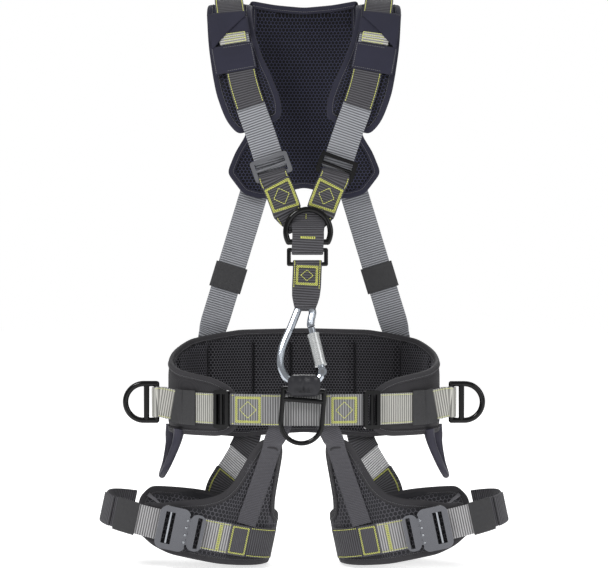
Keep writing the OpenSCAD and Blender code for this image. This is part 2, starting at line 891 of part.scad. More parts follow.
belt_pad();
back_pad();
shoulder_pad_left();
shoulder_pad_right();
leg_pad_left();
leg_pad_right();
belt_webbing_front();
belt_webbing_left();
belt_webbing_right();
belt_webbing_rear();
chest_strap_left();
chest_strap_right();
chest_loop_left();
chest_loop_right();
back_strap_left();
back_strap_right();
sternal_fold();
sternal_strap();
ventral_loop();
ventral_bridge();
front_riser_left();
front_riser_right();
rear_riser_left();
rear_riser_right();
leg_strap_inner_left();
leg_strap_inner_right();
leg_strap_outer_left();
leg_strap_outer_right();
gear_loop_left();
gear_loop_right();
sternal_ring();
sternal_link();
ventral_ring();
side_ring_left();
side_ring_right();
dorsal_ring();
dorsal_plate();
carabiner_body();
carabiner_gate();
carabiner_sleeve();
carabiner_pin();
gate_spring();
shoulder_adjuster_left();
shoulder_adjuster_right();
shoulder_adjuster_bar_left();
shoulder_adjuster_bar_right();
belt_adjuster(-left_adjuster);  // belt_adjuster_left
belt_adjuster(right_adjuster);  // belt_adjuster_right
belt_adjuster_bar(-left_adjuster);  // belt_adjuster_bar_left
belt_adjuster_bar(right_adjuster);  // belt_adjuster_bar_right
leg_buckle_left();
leg_buckle_right();
leg_buckle_bar_left();
leg_buckle_bar_right();
leg_tongue_left();
leg_tongue_right();
back_keeper_left();
back_keeper_right();
belt_keepers();
leg_keepers();
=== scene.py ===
"""Looks of a full-body work-positioning harness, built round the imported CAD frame.

Lengths inside this script are millimetres until a mesh is made. Left and right in names are as seen from
the front. Soft surfaces repeat the driving sizes of the part's own source.
"""

import math

import bmesh
import bpy
import numpy as np
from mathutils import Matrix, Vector
from mathutils.bvhtree import BVHTree


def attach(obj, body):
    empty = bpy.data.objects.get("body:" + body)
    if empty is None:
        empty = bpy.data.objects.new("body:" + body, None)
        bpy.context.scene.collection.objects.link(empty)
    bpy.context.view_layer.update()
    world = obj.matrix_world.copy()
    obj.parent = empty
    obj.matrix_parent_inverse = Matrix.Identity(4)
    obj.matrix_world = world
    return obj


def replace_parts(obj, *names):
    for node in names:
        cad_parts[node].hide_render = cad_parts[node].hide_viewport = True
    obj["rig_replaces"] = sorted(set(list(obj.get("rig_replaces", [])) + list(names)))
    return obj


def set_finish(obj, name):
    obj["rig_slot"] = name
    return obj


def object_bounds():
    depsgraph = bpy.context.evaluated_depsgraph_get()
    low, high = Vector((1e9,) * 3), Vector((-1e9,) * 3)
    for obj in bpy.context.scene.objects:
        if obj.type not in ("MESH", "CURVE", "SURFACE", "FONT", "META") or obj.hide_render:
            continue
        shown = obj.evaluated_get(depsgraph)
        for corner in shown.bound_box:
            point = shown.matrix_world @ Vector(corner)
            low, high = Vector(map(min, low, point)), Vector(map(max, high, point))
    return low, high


MM = 0.001
ROOT = "harness"

# Sizes shared with the CAD, in millimetres.
WEB_W = 45
WEB_T = 2.5
GAP = 0.6
WEB_OFF = GAP + WEB_T / 2
BELT_A = 210
BELT_B = 137
BELT_T = 13
BELT_END = 27.5
BELT_WEB_Z = -12
RING_R = 4.2
LINK_R = 3
BAR_R = 5.5
BACK_T = 10
SHOULDER_T = 12
SHOULDER_W = 34
LEG_A = 131
LEG_B = 74
LEG_T = 10
LEG_TILT = 12
LEG_AT = (-173, 0, -195)
LEG_POWER = 2.4

# Height of stitches over a strap's middle surface.
SEWN = WEB_T / 2 + 0.15
STRAP_STEP = 0.8
RIB_PITCH = 3.7
RIB_RISE = 0.4
STITCH_R = 0.5
STITCH_PITCH = 3.2

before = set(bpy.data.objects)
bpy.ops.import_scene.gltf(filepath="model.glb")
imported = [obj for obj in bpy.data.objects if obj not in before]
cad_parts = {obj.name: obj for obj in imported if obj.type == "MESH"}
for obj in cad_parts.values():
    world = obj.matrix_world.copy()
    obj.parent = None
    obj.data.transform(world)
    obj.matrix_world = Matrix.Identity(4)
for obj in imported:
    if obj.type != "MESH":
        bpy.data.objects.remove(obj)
cad_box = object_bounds()


# ------------------------------------------------------------------ arrays


def unit(v):
    v = np.asarray(v, float)
    return v / np.maximum(np.linalg.norm(v, axis=-1, keepdims=True), 1e-12)


def catmull(points, steps):
    """Smooth curve through the points, with steps samples in each span."""
    p = np.asarray(points, float)
    ext = np.vstack([p[:1], p, p[-1:]])
    out = []
    for i in range(len(p) - 1):
        a, b, c, d = ext[i : i + 4]
        for t in np.arange(steps) / steps:
            bend = (2 * a - 5 * b + 4 * c - d) * t * t + (3 * b - 3 * c + d - a) * t**3
            out.append(0.5 * (2 * b + (c - a) * t + bend))
    out.append(p[-1])
    return np.array(out)


def distances(points):
    """Distance along a line of points to each of them."""
    return np.concatenate([[0], np.cumsum(np.linalg.norm(np.diff(points, axis=0), axis=1))])


def interleaved(rings):
    """One list of points from rings of points, ordered point by point."""
    return np.stack(rings, axis=1).reshape(-1, 3)


def columns(x, xs, values):
    """Interpolates each column of values at x."""
    values = np.asarray(values, float)
    return np.stack([np.interp(x, xs, values[:, k]) for k in range(values.shape[1])], axis=-1)


def table(rows):
    """A function that interpolates between (place, value) rows."""
    xs, ys = np.array(rows, float).T
    return lambda x: np.interp(x, xs, ys)


def smooth_step(x):
    x = np.clip(x, 0, 1)
    return x * x * (3 - 2 * x)


def mirrored(points):
    return np.asarray(points, float) * (-1, 1, 1)


# ----------------------------------------------------------------- objects


def make_object(name, points, faces, material, body=ROOT, slot=None, nodes=(), weave=None):
    """A mesh object from points in millimetres, riding on a CAD body."""
    mesh = bpy.data.meshes.new(name)
    mesh.from_pydata((np.asarray(points) * MM).tolist(), [], [list(map(int, f)) for f in faces])
    mesh.update()
    if weave is not None:
        layer = mesh.attributes.new("weave", "FLOAT_VECTOR", "POINT")
        layer.data.foreach_set("vector", np.asarray(weave, np.float32).ravel())
    mesh.polygons.foreach_set("use_smooth", [True] * len(mesh.polygons))
    mesh.materials.append(material)
    obj = bpy.data.objects.new(name, mesh)
    bpy.context.scene.collection.objects.link(obj)
    fix_normals(mesh)
    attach(obj, body)
    if slot:
        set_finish(obj, slot)
    if nodes:
        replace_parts(obj, *nodes)
    return obj


def fix_normals(mesh):
    """Turns every face of a mesh outwards."""
    bm = bmesh.new()
    bm.from_mesh(mesh)
    bmesh.ops.recalc_face_normals(bm, faces=bm.faces)
    bm.to_mesh(mesh)
    bm.free()


def ring_faces(rings, around, closed=False):
    """Quads between successive rings of vertices, with capped ends if the sweep is open."""
    faces = []
    for i in range(rings if closed else rings - 1):
        a = i * around
        b = ((i + 1) % rings) * around
        for k in range(around):
            n = (k + 1) % around
            faces.append((a + k, a + n, b + n, b + k))
    if not closed:
        faces.append(tuple(range(around - 1, -1, -1)))
        faces.append(tuple((rings - 1) * around + k for k in range(around)))
    return faces


def sleeve_faces(rows, cols):
    """Faces of a double wall round a closed loop of rows, open at both ends of its cols."""
    half = rows * cols
    faces = []
    for i in range(rows):
        a, b = i * cols, (i + 1) % rows * cols
        for j in range(cols - 1):
            faces.append((half + a + j, half + a + j + 1, half + b + j + 1, half + b + j))
            faces.append((b + j, b + j + 1, a + j + 1, a + j))
        for j in (0, cols - 1):
            faces.append((a + j, b + j, half + b + j, half + a + j))
    return faces


# --------------------------------------------------------------- materials


def srgb(code):
    """Linear colour of a hex code."""
    channels = [int(code[i : i + 2], 16) / 255 for i in (1, 3, 5)]
    return [c / 12.92 if c <= 0.04045 else ((c + 0.055) / 1.055) ** 2.4 for c in channels]


class Nodes:
    """Short-hand for building a material's node tree."""

    def __init__(self, name):
        self.material = bpy.data.materials.new(name)
        self.material.use_nodes = True
        self.tree = self.material.node_tree
        self.shader = self.tree.nodes["Principled BSDF"]

    def add(self, kind, **inputs):
        node = self.tree.nodes.new(kind)
        for key, value in inputs.items():
            self.feed(node.inputs[key.replace("_", " ")], value)
        return node

    def feed(self, socket, value):
        if isinstance(value, bpy.types.NodeSocket):
            self.tree.links.new(value, socket)
        else:
            socket.default_value = value

    def math(self, operation, a, b=0.0):
        node = self.tree.nodes.new("ShaderNodeMath")
        node.operation = operation
        self.feed(node.inputs[0], a)
        self.feed(node.inputs[1], b)
        return node.outputs[0]

    def wave(self, value, period, phase=0.0):
        """Sine of a length in millimetres, from 0 to 1."""
        turn = self.math("ADD", self.math("MULTIPLY", value, math.tau / period), phase)
        return self.math("ADD", self.math("MULTIPLY", self.math("SINE", turn), 0.5), 0.5)

    def place(self):
        """Object coordinates in millimetres, as x, y and z sockets."""
        source = self.add("ShaderNodeTexCoord").outputs["Object"]
        scaled = self.add("ShaderNodeVectorMath")
        scaled.operation = "SCALE"
        self.feed(scaled.inputs[0], source)
        scaled.inputs["Scale"].default_value = 1 / MM
        split = self.add("ShaderNodeSeparateXYZ", Vector=scaled.outputs[0])
        return scaled.outputs[0], split.outputs

    def weave(self):
        """A strap's own coordinates: across it, then along it."""
        source = self.tree.nodes.new("ShaderNodeAttribute")
        source.attribute_name = "weave"
        split = self.add("ShaderNodeSeparateXYZ", Vector=source.outputs["Vector"])
        return split.outputs

    def noise(self, vector, scale, detail=3.0):
        node = self.add("ShaderNodeTexNoise", Vector=vector)
        node.inputs["Scale"].default_value = scale
        node.inputs["Detail"].default_value = detail
        return node.outputs["Fac"]

    def mix(self, factor, a, b):
        node = self.tree.nodes.new("ShaderNodeMix")
        node.data_type = "RGBA"
        self.feed(node.inputs["Factor"], factor)
        for socket, value in ((node.inputs[6], a), (node.inputs[7], b)):
            self.feed(socket, [*value, 1] if isinstance(value, (list, tuple)) else value)
        return node.outputs[2]

    def bump(self, height, distance):
        node = self.add("ShaderNodeBump", Height=height)
        node.inputs["Distance"].default_value = distance * MM
        node.inputs["Strength"].default_value = 1
        self.tree.links.new(node.outputs["Normal"], self.shader.inputs["Normal"])

    def remap(self, value, low, high):
        node = self.tree.nodes.new("ShaderNodeMapRange")
        self.feed(node.inputs["Value"], value)
        node.inputs["To Min"].default_value = low
        node.inputs["To Max"].default_value = high
        return node.outputs[0]

    def link(self, name, value):
        self.feed(self.shader.inputs[name], value)

    def set(self, **values):
        """Sets plain numbers and colours on the shader's own sockets."""
        for key, value in values.items():
            self.shader.inputs[key.replace("_", " ")].default_value = value


def shade(colour, factor):
    """The colour, lighter or darker."""
    return [c * factor for c in colour]


def webbing_material(name, colour, pitch=RIB_PITCH, painted_groove_shade=0.35, twill=2.2, sheen=0.08, depth=0.3):
    """Woven strap: cross ribs over warp columns, with the hollows between ribs painted dark as painted shade,
    and a cloudy wear.
    """
    n = Nodes(name)
    u, v, _ = n.weave()
    place, _ = n.place()
    rib = n.wave(v, pitch, math.pi / 2)
    column = n.wave(u, 1.5)
    diagonal = n.wave(n.math("ADD", u, v), twill)
    fine = n.math("ADD", n.math("MULTIPLY", column, 0.5), n.math("MULTIPLY", diagonal, 0.5))
    wear = n.noise(place, 0.03)
    base = srgb(colour)
    ridge = n.mix(fine, shade(base, 0.78), shade(base, 1.25))
    # Painted shade: the hollows between ribs are darkened to a share of the base colour.
    ribbed = n.mix(n.math("POWER", rib, 1.1), shade(base, painted_groove_shade), ridge)
    n.link("Base Color", n.mix(n.math("MULTIPLY", wear, 0.35), ribbed, shade(base, 0.9)))
    n.link("Roughness", n.remap(n.noise(place, 0.2), 0.5, 0.8))
    n.set(Sheen_Weight=sheen, Sheen_Roughness=0.4, Specular_IOR_Level=0.4)
    n.bump(n.math("ADD", fine, rib), depth)
    return n.material


def cloth_material(name, colour, period=1.5, sheen=0.04, rough=(0.65, 0.9), contrast=0.6, depth=0.25):
    """Plain woven or coated fabric without a map: a fine three-way grain."""
    n = Nodes(name)
    place, (x, y, z) = n.place()
    grain = n.math("MULTIPLY", n.wave(n.math("ADD", x, y), period), n.wave(z, period))
    cloud = n.noise(place, 0.02, 4.0)
    fibre = n.noise(place, 1.4, 2.0)
    base = srgb(colour)
    tone = n.mix(grain, shade(base, contrast), shade(base, 1.15))
    n.link("Base Color", n.mix(n.math("MULTIPLY", cloud, 0.6), tone, shade(base, 1.35)))
    n.link("Roughness", n.remap(fibre, *rough))
    n.set(Sheen_Weight=sheen, Sheen_Roughness=0.5, Specular_IOR_Level=0.25)
    n.bump(n.math("ADD", grain, n.math("MULTIPLY", fibre, 0.6)), depth)
    return n.material


def thread_material(name, colour):
    """Twisted sewing thread."""
    n = Nodes(name)
    place, (x, y, z) = n.place()
    twist = n.wave(n.math("ADD", n.math("ADD", x, y), z), 0.9)
    base = srgb(colour)
    n.link("Base Color", n.mix(twist, shade(base, 0.7), shade(base, 1.15)))
    n.link("Roughness", n.remap(n.noise(place, 0.8), 0.4, 0.65))
    n.set(Sheen_Weight=0.2)
    n.bump(twist, 0.08)
    return n.material


def metal_material(name, colour, rough, metallic=1.0, wear=None, coat=0.0, specular=0.5):
    """Metal or paint on metal, with fine scratches and cloudy polish."""
    n = Nodes(name)
    place, _ = n.place()
    cloud = n.noise(place, 0.05, 5.0)
    scratch = n.noise(place, 1.2, 6.0)
    base = srgb(colour)
    tone = n.mix(cloud, shade(base, 0.85), shade(base, 1.1))
    if wear:
        sharp = n.math("POWER", scratch, 8.0)
        tone = n.mix(n.math("MULTIPLY", sharp, 1.2), tone, srgb(wear))
    n.link("Base Color", tone)
    n.link("Roughness", n.remap(n.math("MULTIPLY", cloud, scratch), *rough))
    n.set(Metallic=metallic, Coat_Weight=coat, Coat_Roughness=0.08, Specular_IOR_Level=specular)
    n.bump(scratch, 0.02)
    return n.material


SILVER_WEB = webbing_material("silver_webbing", "#bfbeb8", painted_groove_shade=0.16)
GREY_WEB = webbing_material("grey_webbing", "#9d9fa5", painted_groove_shade=0.1)
# Painted shade: the silver webbing again, drawn darker where it runs across the front of the belt.
SHADED_SILVER_WEB = webbing_material("front_webbing", "#99999a", painted_groove_shade=0.1)
DARK_WEB = webbing_material("dark_webbing", "#504f54", painted_groove_shade=0.04)
RISER_WEB = webbing_material("riser_webbing", "#4e4d53", pitch=2.6, painted_groove_shade=0.45, twill=3.4)
LEG_WEB = webbing_material("leg_webbing", "#b4b3b5", painted_groove_shade=0.08)
PALE_WEB = webbing_material("pale_webbing", "#e6e6e8", painted_groove_shade=0.12)
ELASTIC = webbing_material("elastic", "#38383a", pitch=1.8, painted_groove_shade=0.6, twill=1.4, sheen=0.05)
CHARCOAL = cloth_material("charcoal_fabric", "#302f32")
BINDING = cloth_material("edge_binding", "#343336", period=1.1, contrast=0.75)
NAVY = cloth_material("navy_fabric", "#272736")
NAVY_BINDING = cloth_material("navy_binding", "#242432", period=1.1, contrast=0.75)
NAVY_MESH = cloth_material("navy_mesh", "#41435c", period=0.9, sheen=0.1)
GREY_MESH = cloth_material("charcoal_mesh", "#626167", period=0.9, sheen=0.1)
LEG_FABRIC = cloth_material("leg_fabric", "#2a2a2e")
SLEEVE = cloth_material("black_sleeve", "#26262a", period=1.0, rough=(0.28, 0.42), depth=0.08)
# Painted shade: near-black colour for a pad's faces under the open mesh, standing in for the shade in its
# holes.
MESH_HOLE_SHADE = cloth_material("painted_mesh_hole_shade", "#0c0c10", period=1.2, sheen=0.0)
LIME = thread_material("lime_thread", "#dde070")
CREAM = thread_material("pale_lime_thread", "#d6da92")
GREY_THREAD = thread_material("grey_thread", "#56565a")
BLACK_METAL = metal_material("black_metal", "#070708", (0.1, 0.24), metallic=0.0, wear="#242426", coat=0.2,
                             specular=0.15)
SHADE_METAL = metal_material("grey_painted_metal", "#6b6c70", (0.25, 0.45), metallic=0.7, wear="#98989c")
GREY_METAL = metal_material("grey_metal", "#5c5d62", (0.18, 0.3), metallic=0.85, wear="#b4b6ba", coat=0.3)
ZINC = metal_material("zinc_steel", "#aeb4bc", (0.1, 0.28))
STEEL = metal_material("bare_steel", "#9c9fa4", (0.16, 0.34))
PALE_SLEEVE = metal_material("pale_sleeve", "#c6c8c8", (0.22, 0.42), metallic=0.7)
PLASTIC = cloth_material("moulded_plastic", "#32313d", period=2.2, sheen=0.0, rough=(0.35, 0.5), depth=0.05)


# Materials of straps that share the slot of another one. The others' slots have the material's own name.
SHARED_SLOTS = {"front_webbing": "silver_webbing", "leg_webbing": "grey_webbing",
                "pale_webbing": "grey_webbing", "riser_webbing": "dark_webbing"}


def slot_of(material):
    """A strap material's slot. Blender adds a number to a name that the frame's own materials have taken."""
    name = material.name.split(".")[0]
    return SHARED_SLOTS.get(name, name)


# ------------------------------------------------------------------ straps


class Strap:
    """Middle surface of a flat strap: s runs along it and a across it."""

    def __init__(self, path, hints, width=WEB_W, steps=8):
        path = np.asarray(path, float)
        hints = np.asarray(hints, float)
        if hints.ndim == 1:
            hints = np.tile(hints, (len(path), 1))
        widths = np.broadcast_to(np.asarray(width, float), (len(path),))
        fine = catmull(path, steps)
        lean = catmull(unit(hints), steps)
        spans = np.interp(np.arange(len(fine)) / steps, np.arange(len(path)), widths)
        along = distances(fine)
        self.length = along[-1]
        self.s = np.linspace(0, self.length, int(self.length / STRAP_STEP) + 2)
        self.c = columns(self.s, along, fine)
        self.w = np.interp(self.s, along, spans)
        t = unit(np.gradient(self.c, axis=0))
        self.side = unit(np.cross(t, columns(self.s, along, lean)))
        self.up = np.cross(self.side, t)

    def frame(self, s):
        """Centre, sideways and outward directions at s."""
        side, up = (unit(columns(s, self.s, v)) for v in (self.side, self.up))
        return columns(s, self.s, self.c), side, up

    def point(self, s, a, lift):
        """Points at s, a with lift along the face's own direction, and that direction."""
        c, side, up = self.frame(np.asarray(s, float))
        a = np.asarray(a, float)[..., None]
        lift = np.broadcast_to(np.asarray(lift, float), a.shape[:-1])[..., None]
        return c + side * a + up * lift, up

    def s_at(self, axis, value, front=True):
        """The s where the path crosses a value on an axis, on its front or its rear half."""
        keep = (self.c[:, 1] < 0) == front
        index = np.where(keep)[0]
        return self.s[index[np.argmin(np.abs(self.c[index, axis] - value))]]


# Half profile of a strap: share of the half width, and share of the half thickness.
PROFILE = [(-1, 0), (-0.985, 0.7), (-0.93, 1), (-0.7, 1), (-0.47, 1), (-0.24, 1), (0, 1),
           (0.24, 1), (0.47, 1), (0.7, 1), (0.93, 1), (0.985, 0.7), (1, 0)]


def ribbon(name, strap, material, start=0.0, end=None, lift=0.0, width=None, thick=WEB_T,
           rib=RIB_RISE, pitch=RIB_PITCH, bow=0.0, shift=0.0, **extra):
    """A woven strap with rounded edges and raised cross ribs, along part of a strap's surface."""
    end = strap.length if end is None else end
    s = np.linspace(start, end, max(int((end - start) / STRAP_STEP) + 1, 4))
    c, side, up = strap.frame(s)
    half = (np.interp(s, strap.s, strap.w) if width is None else np.full(len(s), float(width))) / 2
    loop = PROFILE + [(x, -y) for x, y in PROFILE[-2:0:-1]]
    swell = rib * 0.5 * (1 + np.cos(math.tau * s / pitch))
    points = []
    weave = []
    for x, y in loop:
        ridge = swell * np.sign(y) * (abs(x) < 0.95)
        rise = y * (thick / 2 - rib) + ridge + lift + bow * (1 - x * x)
        a = half * x + shift
        points.append(c + side * a[:, None] + up * rise[:, None])
        weave.append(np.stack([a, s, np.zeros(len(s))], axis=-1))
    make_object(name, interleaved(points), ring_faces(len(s), len(loop)), material,
                slot=slot_of(material), weave=interleaved(weave), **extra)


# Shape of one stitch: share of its length, radius, and height above the cloth.
STITCH = [(0, 0.3, -0.4), (0.14, 0.9, 0.25), (0.5, 1.0, 0.5), (0.86, 0.9, 0.25), (1, 0.3, -0.4)]
STITCH_SIDES = 6


class Stitches:
    """Collects single stitches, then makes them one piece."""

    def __init__(self):
        self.starts, self.ends, self.ups = [], [], []

    def line(self, points, ups, pitch=STITCH_PITCH, fill=0.82):
        """Stitches along a line of points with their surface directions."""
        points = np.asarray(points, float)
        along = distances(points)
        count = max(int(round(along[-1] / pitch)), 1)
        begin = np.arange(count) * along[-1] / count
        self.starts.append(columns(begin, along, points))
        self.ends.append(columns(begin + fill * along[-1] / count, along, points))
        self.ups.append(unit(columns(begin, along, ups)))

    def on(self, strap, corners, lift, **more):
        """Stitches along straight runs between (s, a) corners on a strap."""
        for (s0, a0), (s1, a1) in zip(corners[:-1], corners[1:]):
            t = np.linspace(0, 1, max(int(math.hypot(s1 - s0, a1 - a0) / 2), 2))
            points, ups = strap.point(s0 + (s1 - s0) * t, a0 + (a1 - a0) * t, lift)
            self.line(points, ups * (1 if np.all(np.asarray(lift) >= 0) else -1), **more)

    def box(self, strap, s0, s1, half, lift, crossed=True, **more):
        """A stitched box with a diagonal cross."""
        self.on(strap, [(s0, -half), (s1, -half), (s1, half), (s0, half), (s0, -half)], lift, **more)
        if crossed:
            self.on(strap, [(s0, -half), (s1, half)], lift, **more)
            self.on(strap, [(s0, half), (s1, -half)], lift, **more)

    def border(self, strap, s0, s1, half, lift, rows=3, gap=1.2):
        """A wide sewn border: nested boxes of stitches."""
        for k in range(rows):
            self.box(strap, s0 + k * gap, s1 - k * gap, half - k * gap, lift, crossed=False)

    def diamond(self, strap, s0, s1, half, lift):
        """A plain stitched diamond in the middle of a box."""
        middle = (s0 + s1) / 2
        reach = (s1 - s0) / 2
        self.on(strap, [(middle - reach, 0), (middle, half), (middle + reach, 0), (middle, -half),
                        (middle - reach, 0)], lift)

    def edges(self, strap, s0, s1, half, lift, **more):
        """A row of stitches near each edge of a strap."""
        for a in (-half, half):
            self.on(strap, [(s0, a), (s1, a)], lift, **more)

    def bars(self, strap, s0, s1, half, rows, lift, **more):
        """Parallel rows of stitches across a strap."""
        for s in np.linspace(s0, s1, rows):
            self.on(strap, [(s, -half), (s, half)], lift, **more)

    def make(self, name, material=LIME, radius=STITCH_R, slot="silver_webbing"):
        """One piece from all the collected stitches."""
        start = np.concatenate(self.starts)
        end = np.concatenate(self.ends)
        up = np.concatenate(self.ups)
        axis = end - start
        side = unit(np.cross(axis, up))
        rings = []
        for share, girth, rise in STITCH:
            centre = start + axis * share + up * (rise * radius)
            for k in range(STITCH_SIDES):
                turn = math.tau * k / STITCH_SIDES
                rings.append(centre + girth * radius * (side * math.cos(turn) + up * math.sin(turn)))
        points = interleaved(rings)
        each = len(STITCH) * STITCH_SIDES
        one = ring_faces(len(STITCH), STITCH_SIDES)
        faces = [tuple(i + j * each for i in f) for j in range(len(start)) for f in one]
        return make_object(name, points, faces, material, slot=slot)


# -------------------------------------------------------------------- pads


class Surface:
    """A pad's middle surface over u and a fraction f, with its thickness direction."""

    def __init__(self, place, u0, u1, thick, edge_t=5.0, edge_w=16.0, count=140):
        self.place = place
        self.thick = thick
        self.edge_t = edge_t
        self.edge_w = edge_w
        self.u = np.linspace(u0, u1, count)
        middle = place(self.u, np.full(count, 0.5), 0.0)
        self.s = distances(middle)
        self.length = self.s[-1]

    def normal(self, u, f):
        return unit(self.place(u, f, 1.0) - self.place(u, f, -1.0))

    def height(self, u):
        low, high = (self.place(u, np.full_like(u, f), 0.0) for f in (0, 1))
        return np.linalg.norm(high - low, axis=-1)

    def half_thick(self, u, f):
        """Half thickness: thin at the bound edges, full in the middle."""
        s = np.interp(u, self.u, self.s)
        ends = np.minimum(s, self.length - s)
        sides = np.minimum(f, 1 - f) * self.height(u)
        d = np.minimum(ends, sides)
        return (self.edge_t + (self.thick - self.edge_t) * smooth_step(d / self.edge_w)) / 2

    def outline(self, inset, step=3.0):
        """Points, inward directions and normals round the pad's edge, inset along it."""
        u0, u1 = self.u[0], self.u[-1]
        run = np.linspace(u0, u1, max(int(self.length / step), 8))
        first, last = (np.linspace(0, 1, max(int(self.height(np.array([u]))[0] / step), 4))[1:-1]
                       for u in (u0, u1))
        u = np.concatenate([run, np.full(len(last), u1), run[::-1], np.full(len(first), u0)])
        f = np.concatenate([np.zeros(len(run)), last, np.ones(len(run)), first[::-1]])
        points, normals = even_loop(self.place(u, f, 0.0), self.normal(u, f), step)
        points = relax(points, 6)
        normals = unit(relax(normals, 4))
        tangent = unit(np.roll(points, -1, axis=0) - np.roll(points, 1, axis=0))
        inward = unit(np.cross(normals, tangent))
        middle = points.mean(axis=0)
        inward *= np.sign(np.sum(inward * (middle - points)))
        return points + inward * inset, inward, normals


def even_loop(points, normals, step):
    """The same closed loop with even steps."""
    closed = np.vstack([points, points[:1]])
    along = distances(closed)
    at = np.linspace(0, along[-1], int(along[-1] / step), endpoint=False)
    wrapped = np.vstack([normals, normals[:1]])
    return columns(at, along, closed), unit(columns(at, along, wrapped))


def relax(loop, rounds):
    """Evens a closed loop of points."""
    for _ in range(rounds):
        loop = 0.5 * loop + 0.25 * (np.roll(loop, 1, axis=0) + np.roll(loop, -1, axis=0))
    return loop


INFLATE_FRAMES = 20
PAD_PRESSURE = 4.0
SWELL_CAP = 1.8
PAD_INSET = 1.8
PAD_THINNEST = 1.6


def skin_faces(rows, cols):
    """Faces of a closed slab between two grids of rows by cols points."""
    half = rows * cols
    faces = []
    for i in range(rows - 1):
        for j in range(cols - 1):
            k = i * cols + j
            faces.append((half + k, half + k + 1, half + k + cols + 1, half + k + cols))
            faces.append((k + cols, k + cols + 1, k + 1, k))
    for i in range(rows - 1):
        k = i * cols
        faces.append((half + k, half + k + cols, k + cols, k))
        k += cols - 1
        faces.append((k, k + cols, half + k + cols, half + k))
    for j in range(cols - 1):
        faces.append((j, j + 1, half + j + 1, half + j))
        k = (rows - 1) * cols + j
        faces.append((half + k, half + k + 1, k + 1, k))
    return faces


def pad_shape(surface, cols=26):
    """Closed slab of a pad, thinner at its edges."""
    u, f = np.meshgrid(surface.u, np.linspace(0, 1, cols), indexing="ij")
    u, f = u.ravel(), f.ravel()
    half = np.maximum(surface.half_thick(u, f) - PAD_INSET, PAD_THINNEST)
    middle = surface.place(u, f, 0.0)
    n = surface.normal(u, f)
    points = np.concatenate([middle - n * half[:, None], middle + n * half[:, None]])
    return points, skin_faces(len(surface.u), cols)


def inflate(obj, voxel):
    """Remeshes a pad evenly and lets air pressure fill it, with a cap on how far a point moves."""
    remesh = obj.modifiers.new("even", "REMESH")
    remesh.mode = "VOXEL"
    remesh.voxel_size = voxel * MM
    apply_modifiers(obj)
    before = coordinates(obj)
    cloth = obj.modifiers.new("fill", "CLOTH")
    cloth.settings.use_pressure = True
    cloth.settings.uniform_pressure_force = PAD_PRESSURE
    cloth.settings.effector_weights.gravity = 0
    cloth.settings.quality = 5
    cloth.point_cache.frame_start = 1
    cloth.point_cache.frame_end = INFLATE_FRAMES
    scene = bpy.context.scene
    for number in range(1, INFLATE_FRAMES + 1):
        scene.frame_set(number)
    apply_modifiers(obj)
    scene.frame_set(1)
    move = coordinates(obj) - before
    length = np.linalg.norm(move, axis=1, keepdims=True)
    move *= np.minimum(1, SWELL_CAP * MM / np.maximum(length, 1e-9))
    write_coordinates(obj, before + move)


def apply_modifiers(obj):
    graph = bpy.context.evaluated_depsgraph_get()
    mesh = bpy.data.meshes.new_from_object(obj.evaluated_get(graph))
    obj.modifiers.clear()
    obj.data = mesh


def coordinates(obj):
    flat = np.zeros(len(obj.data.vertices) * 3)
    obj.data.vertices.foreach_get("co", flat)
    return flat.reshape(-1, 3)


def write_coordinates(obj, points):
    obj.data.vertices.foreach_set("co", np.asarray(points).ravel())
    obj.data.update()


def make_pad(name, surface, material, slot, nodes, voxel=4.0, shape=None, mirror=None):
    """A filled pad in place of its CAD solid, with sewn channels pressed in afterwards."""
    points, faces = pad_shape(surface)
    obj = make_object(name, points, faces, material, slot=slot, nodes=nodes)
    inflate(obj, voxel)
    smooth = obj.modifiers.new("round", "SUBSURF")
    smooth.levels = smooth.render_levels = 1
    apply_modifiers(obj)
    if shape:
        write_coordinates(obj, shape(coordinates(obj) / MM) * MM)
    obj.data.polygons.foreach_set("use_smooth", [True] * len(obj.data.polygons))
    obj.data.update()
    if mirror:
        mirror_copy(obj, mirror[0], slot, mirror[1])
    return obj


def paint_mesh_hole_shade(obj, facing, limit=0.3):
    """Paints the faces of a pad that lie under its open mesh near-black, darker than the pad's own cloth:
    painted shade in the mesh's holes. facing gives how far a face looks that way.
    """
    mesh = obj.data
    mesh.materials.append(MESH_HOLE_SHADE)
    count = len(mesh.polygons)
    centres = np.zeros(count * 3)
    normals = np.zeros(count * 3)
    mesh.polygons.foreach_get("center", centres)
    mesh.polygons.foreach_get("normal", normals)
    share = facing(centres.reshape(-1, 3) / MM, normals.reshape(-1, 3))
    mesh.polygons.foreach_set("material_index", (share > limit).astype(np.int32))
    mesh.update()


def mirror_copy(obj, name, slot, nodes=()):
    """The same piece on the other side of the middle plane."""
    twin = obj.copy()
    twin.data = obj.data.copy()
    twin.name = name
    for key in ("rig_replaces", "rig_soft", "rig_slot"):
        if key in twin:
            del twin[key]
    twin.parent = None
    bpy.context.scene.collection.objects.link(twin)
    write_coordinates(twin, mirrored(coordinates(twin)))
    twin.data.flip_normals()
    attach(twin, ROOT)
    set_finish(twin, slot)
    if nodes:
        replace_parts(twin, *nodes)
    return twin


# Profile of an edge binding: share of its depth inwards, and share of its half thickness.
BINDING_PROFILE = [(1.0, 0.9), (0.95, 1.12), (0.6, 1.15), (0.25, 1.1), (0.06, 0.85), (-0.02, 0.45),
                   (-0.05, 0)]
# Half thickness of the tape to that of the pad's edge.
BINDING_FIT = 0.9


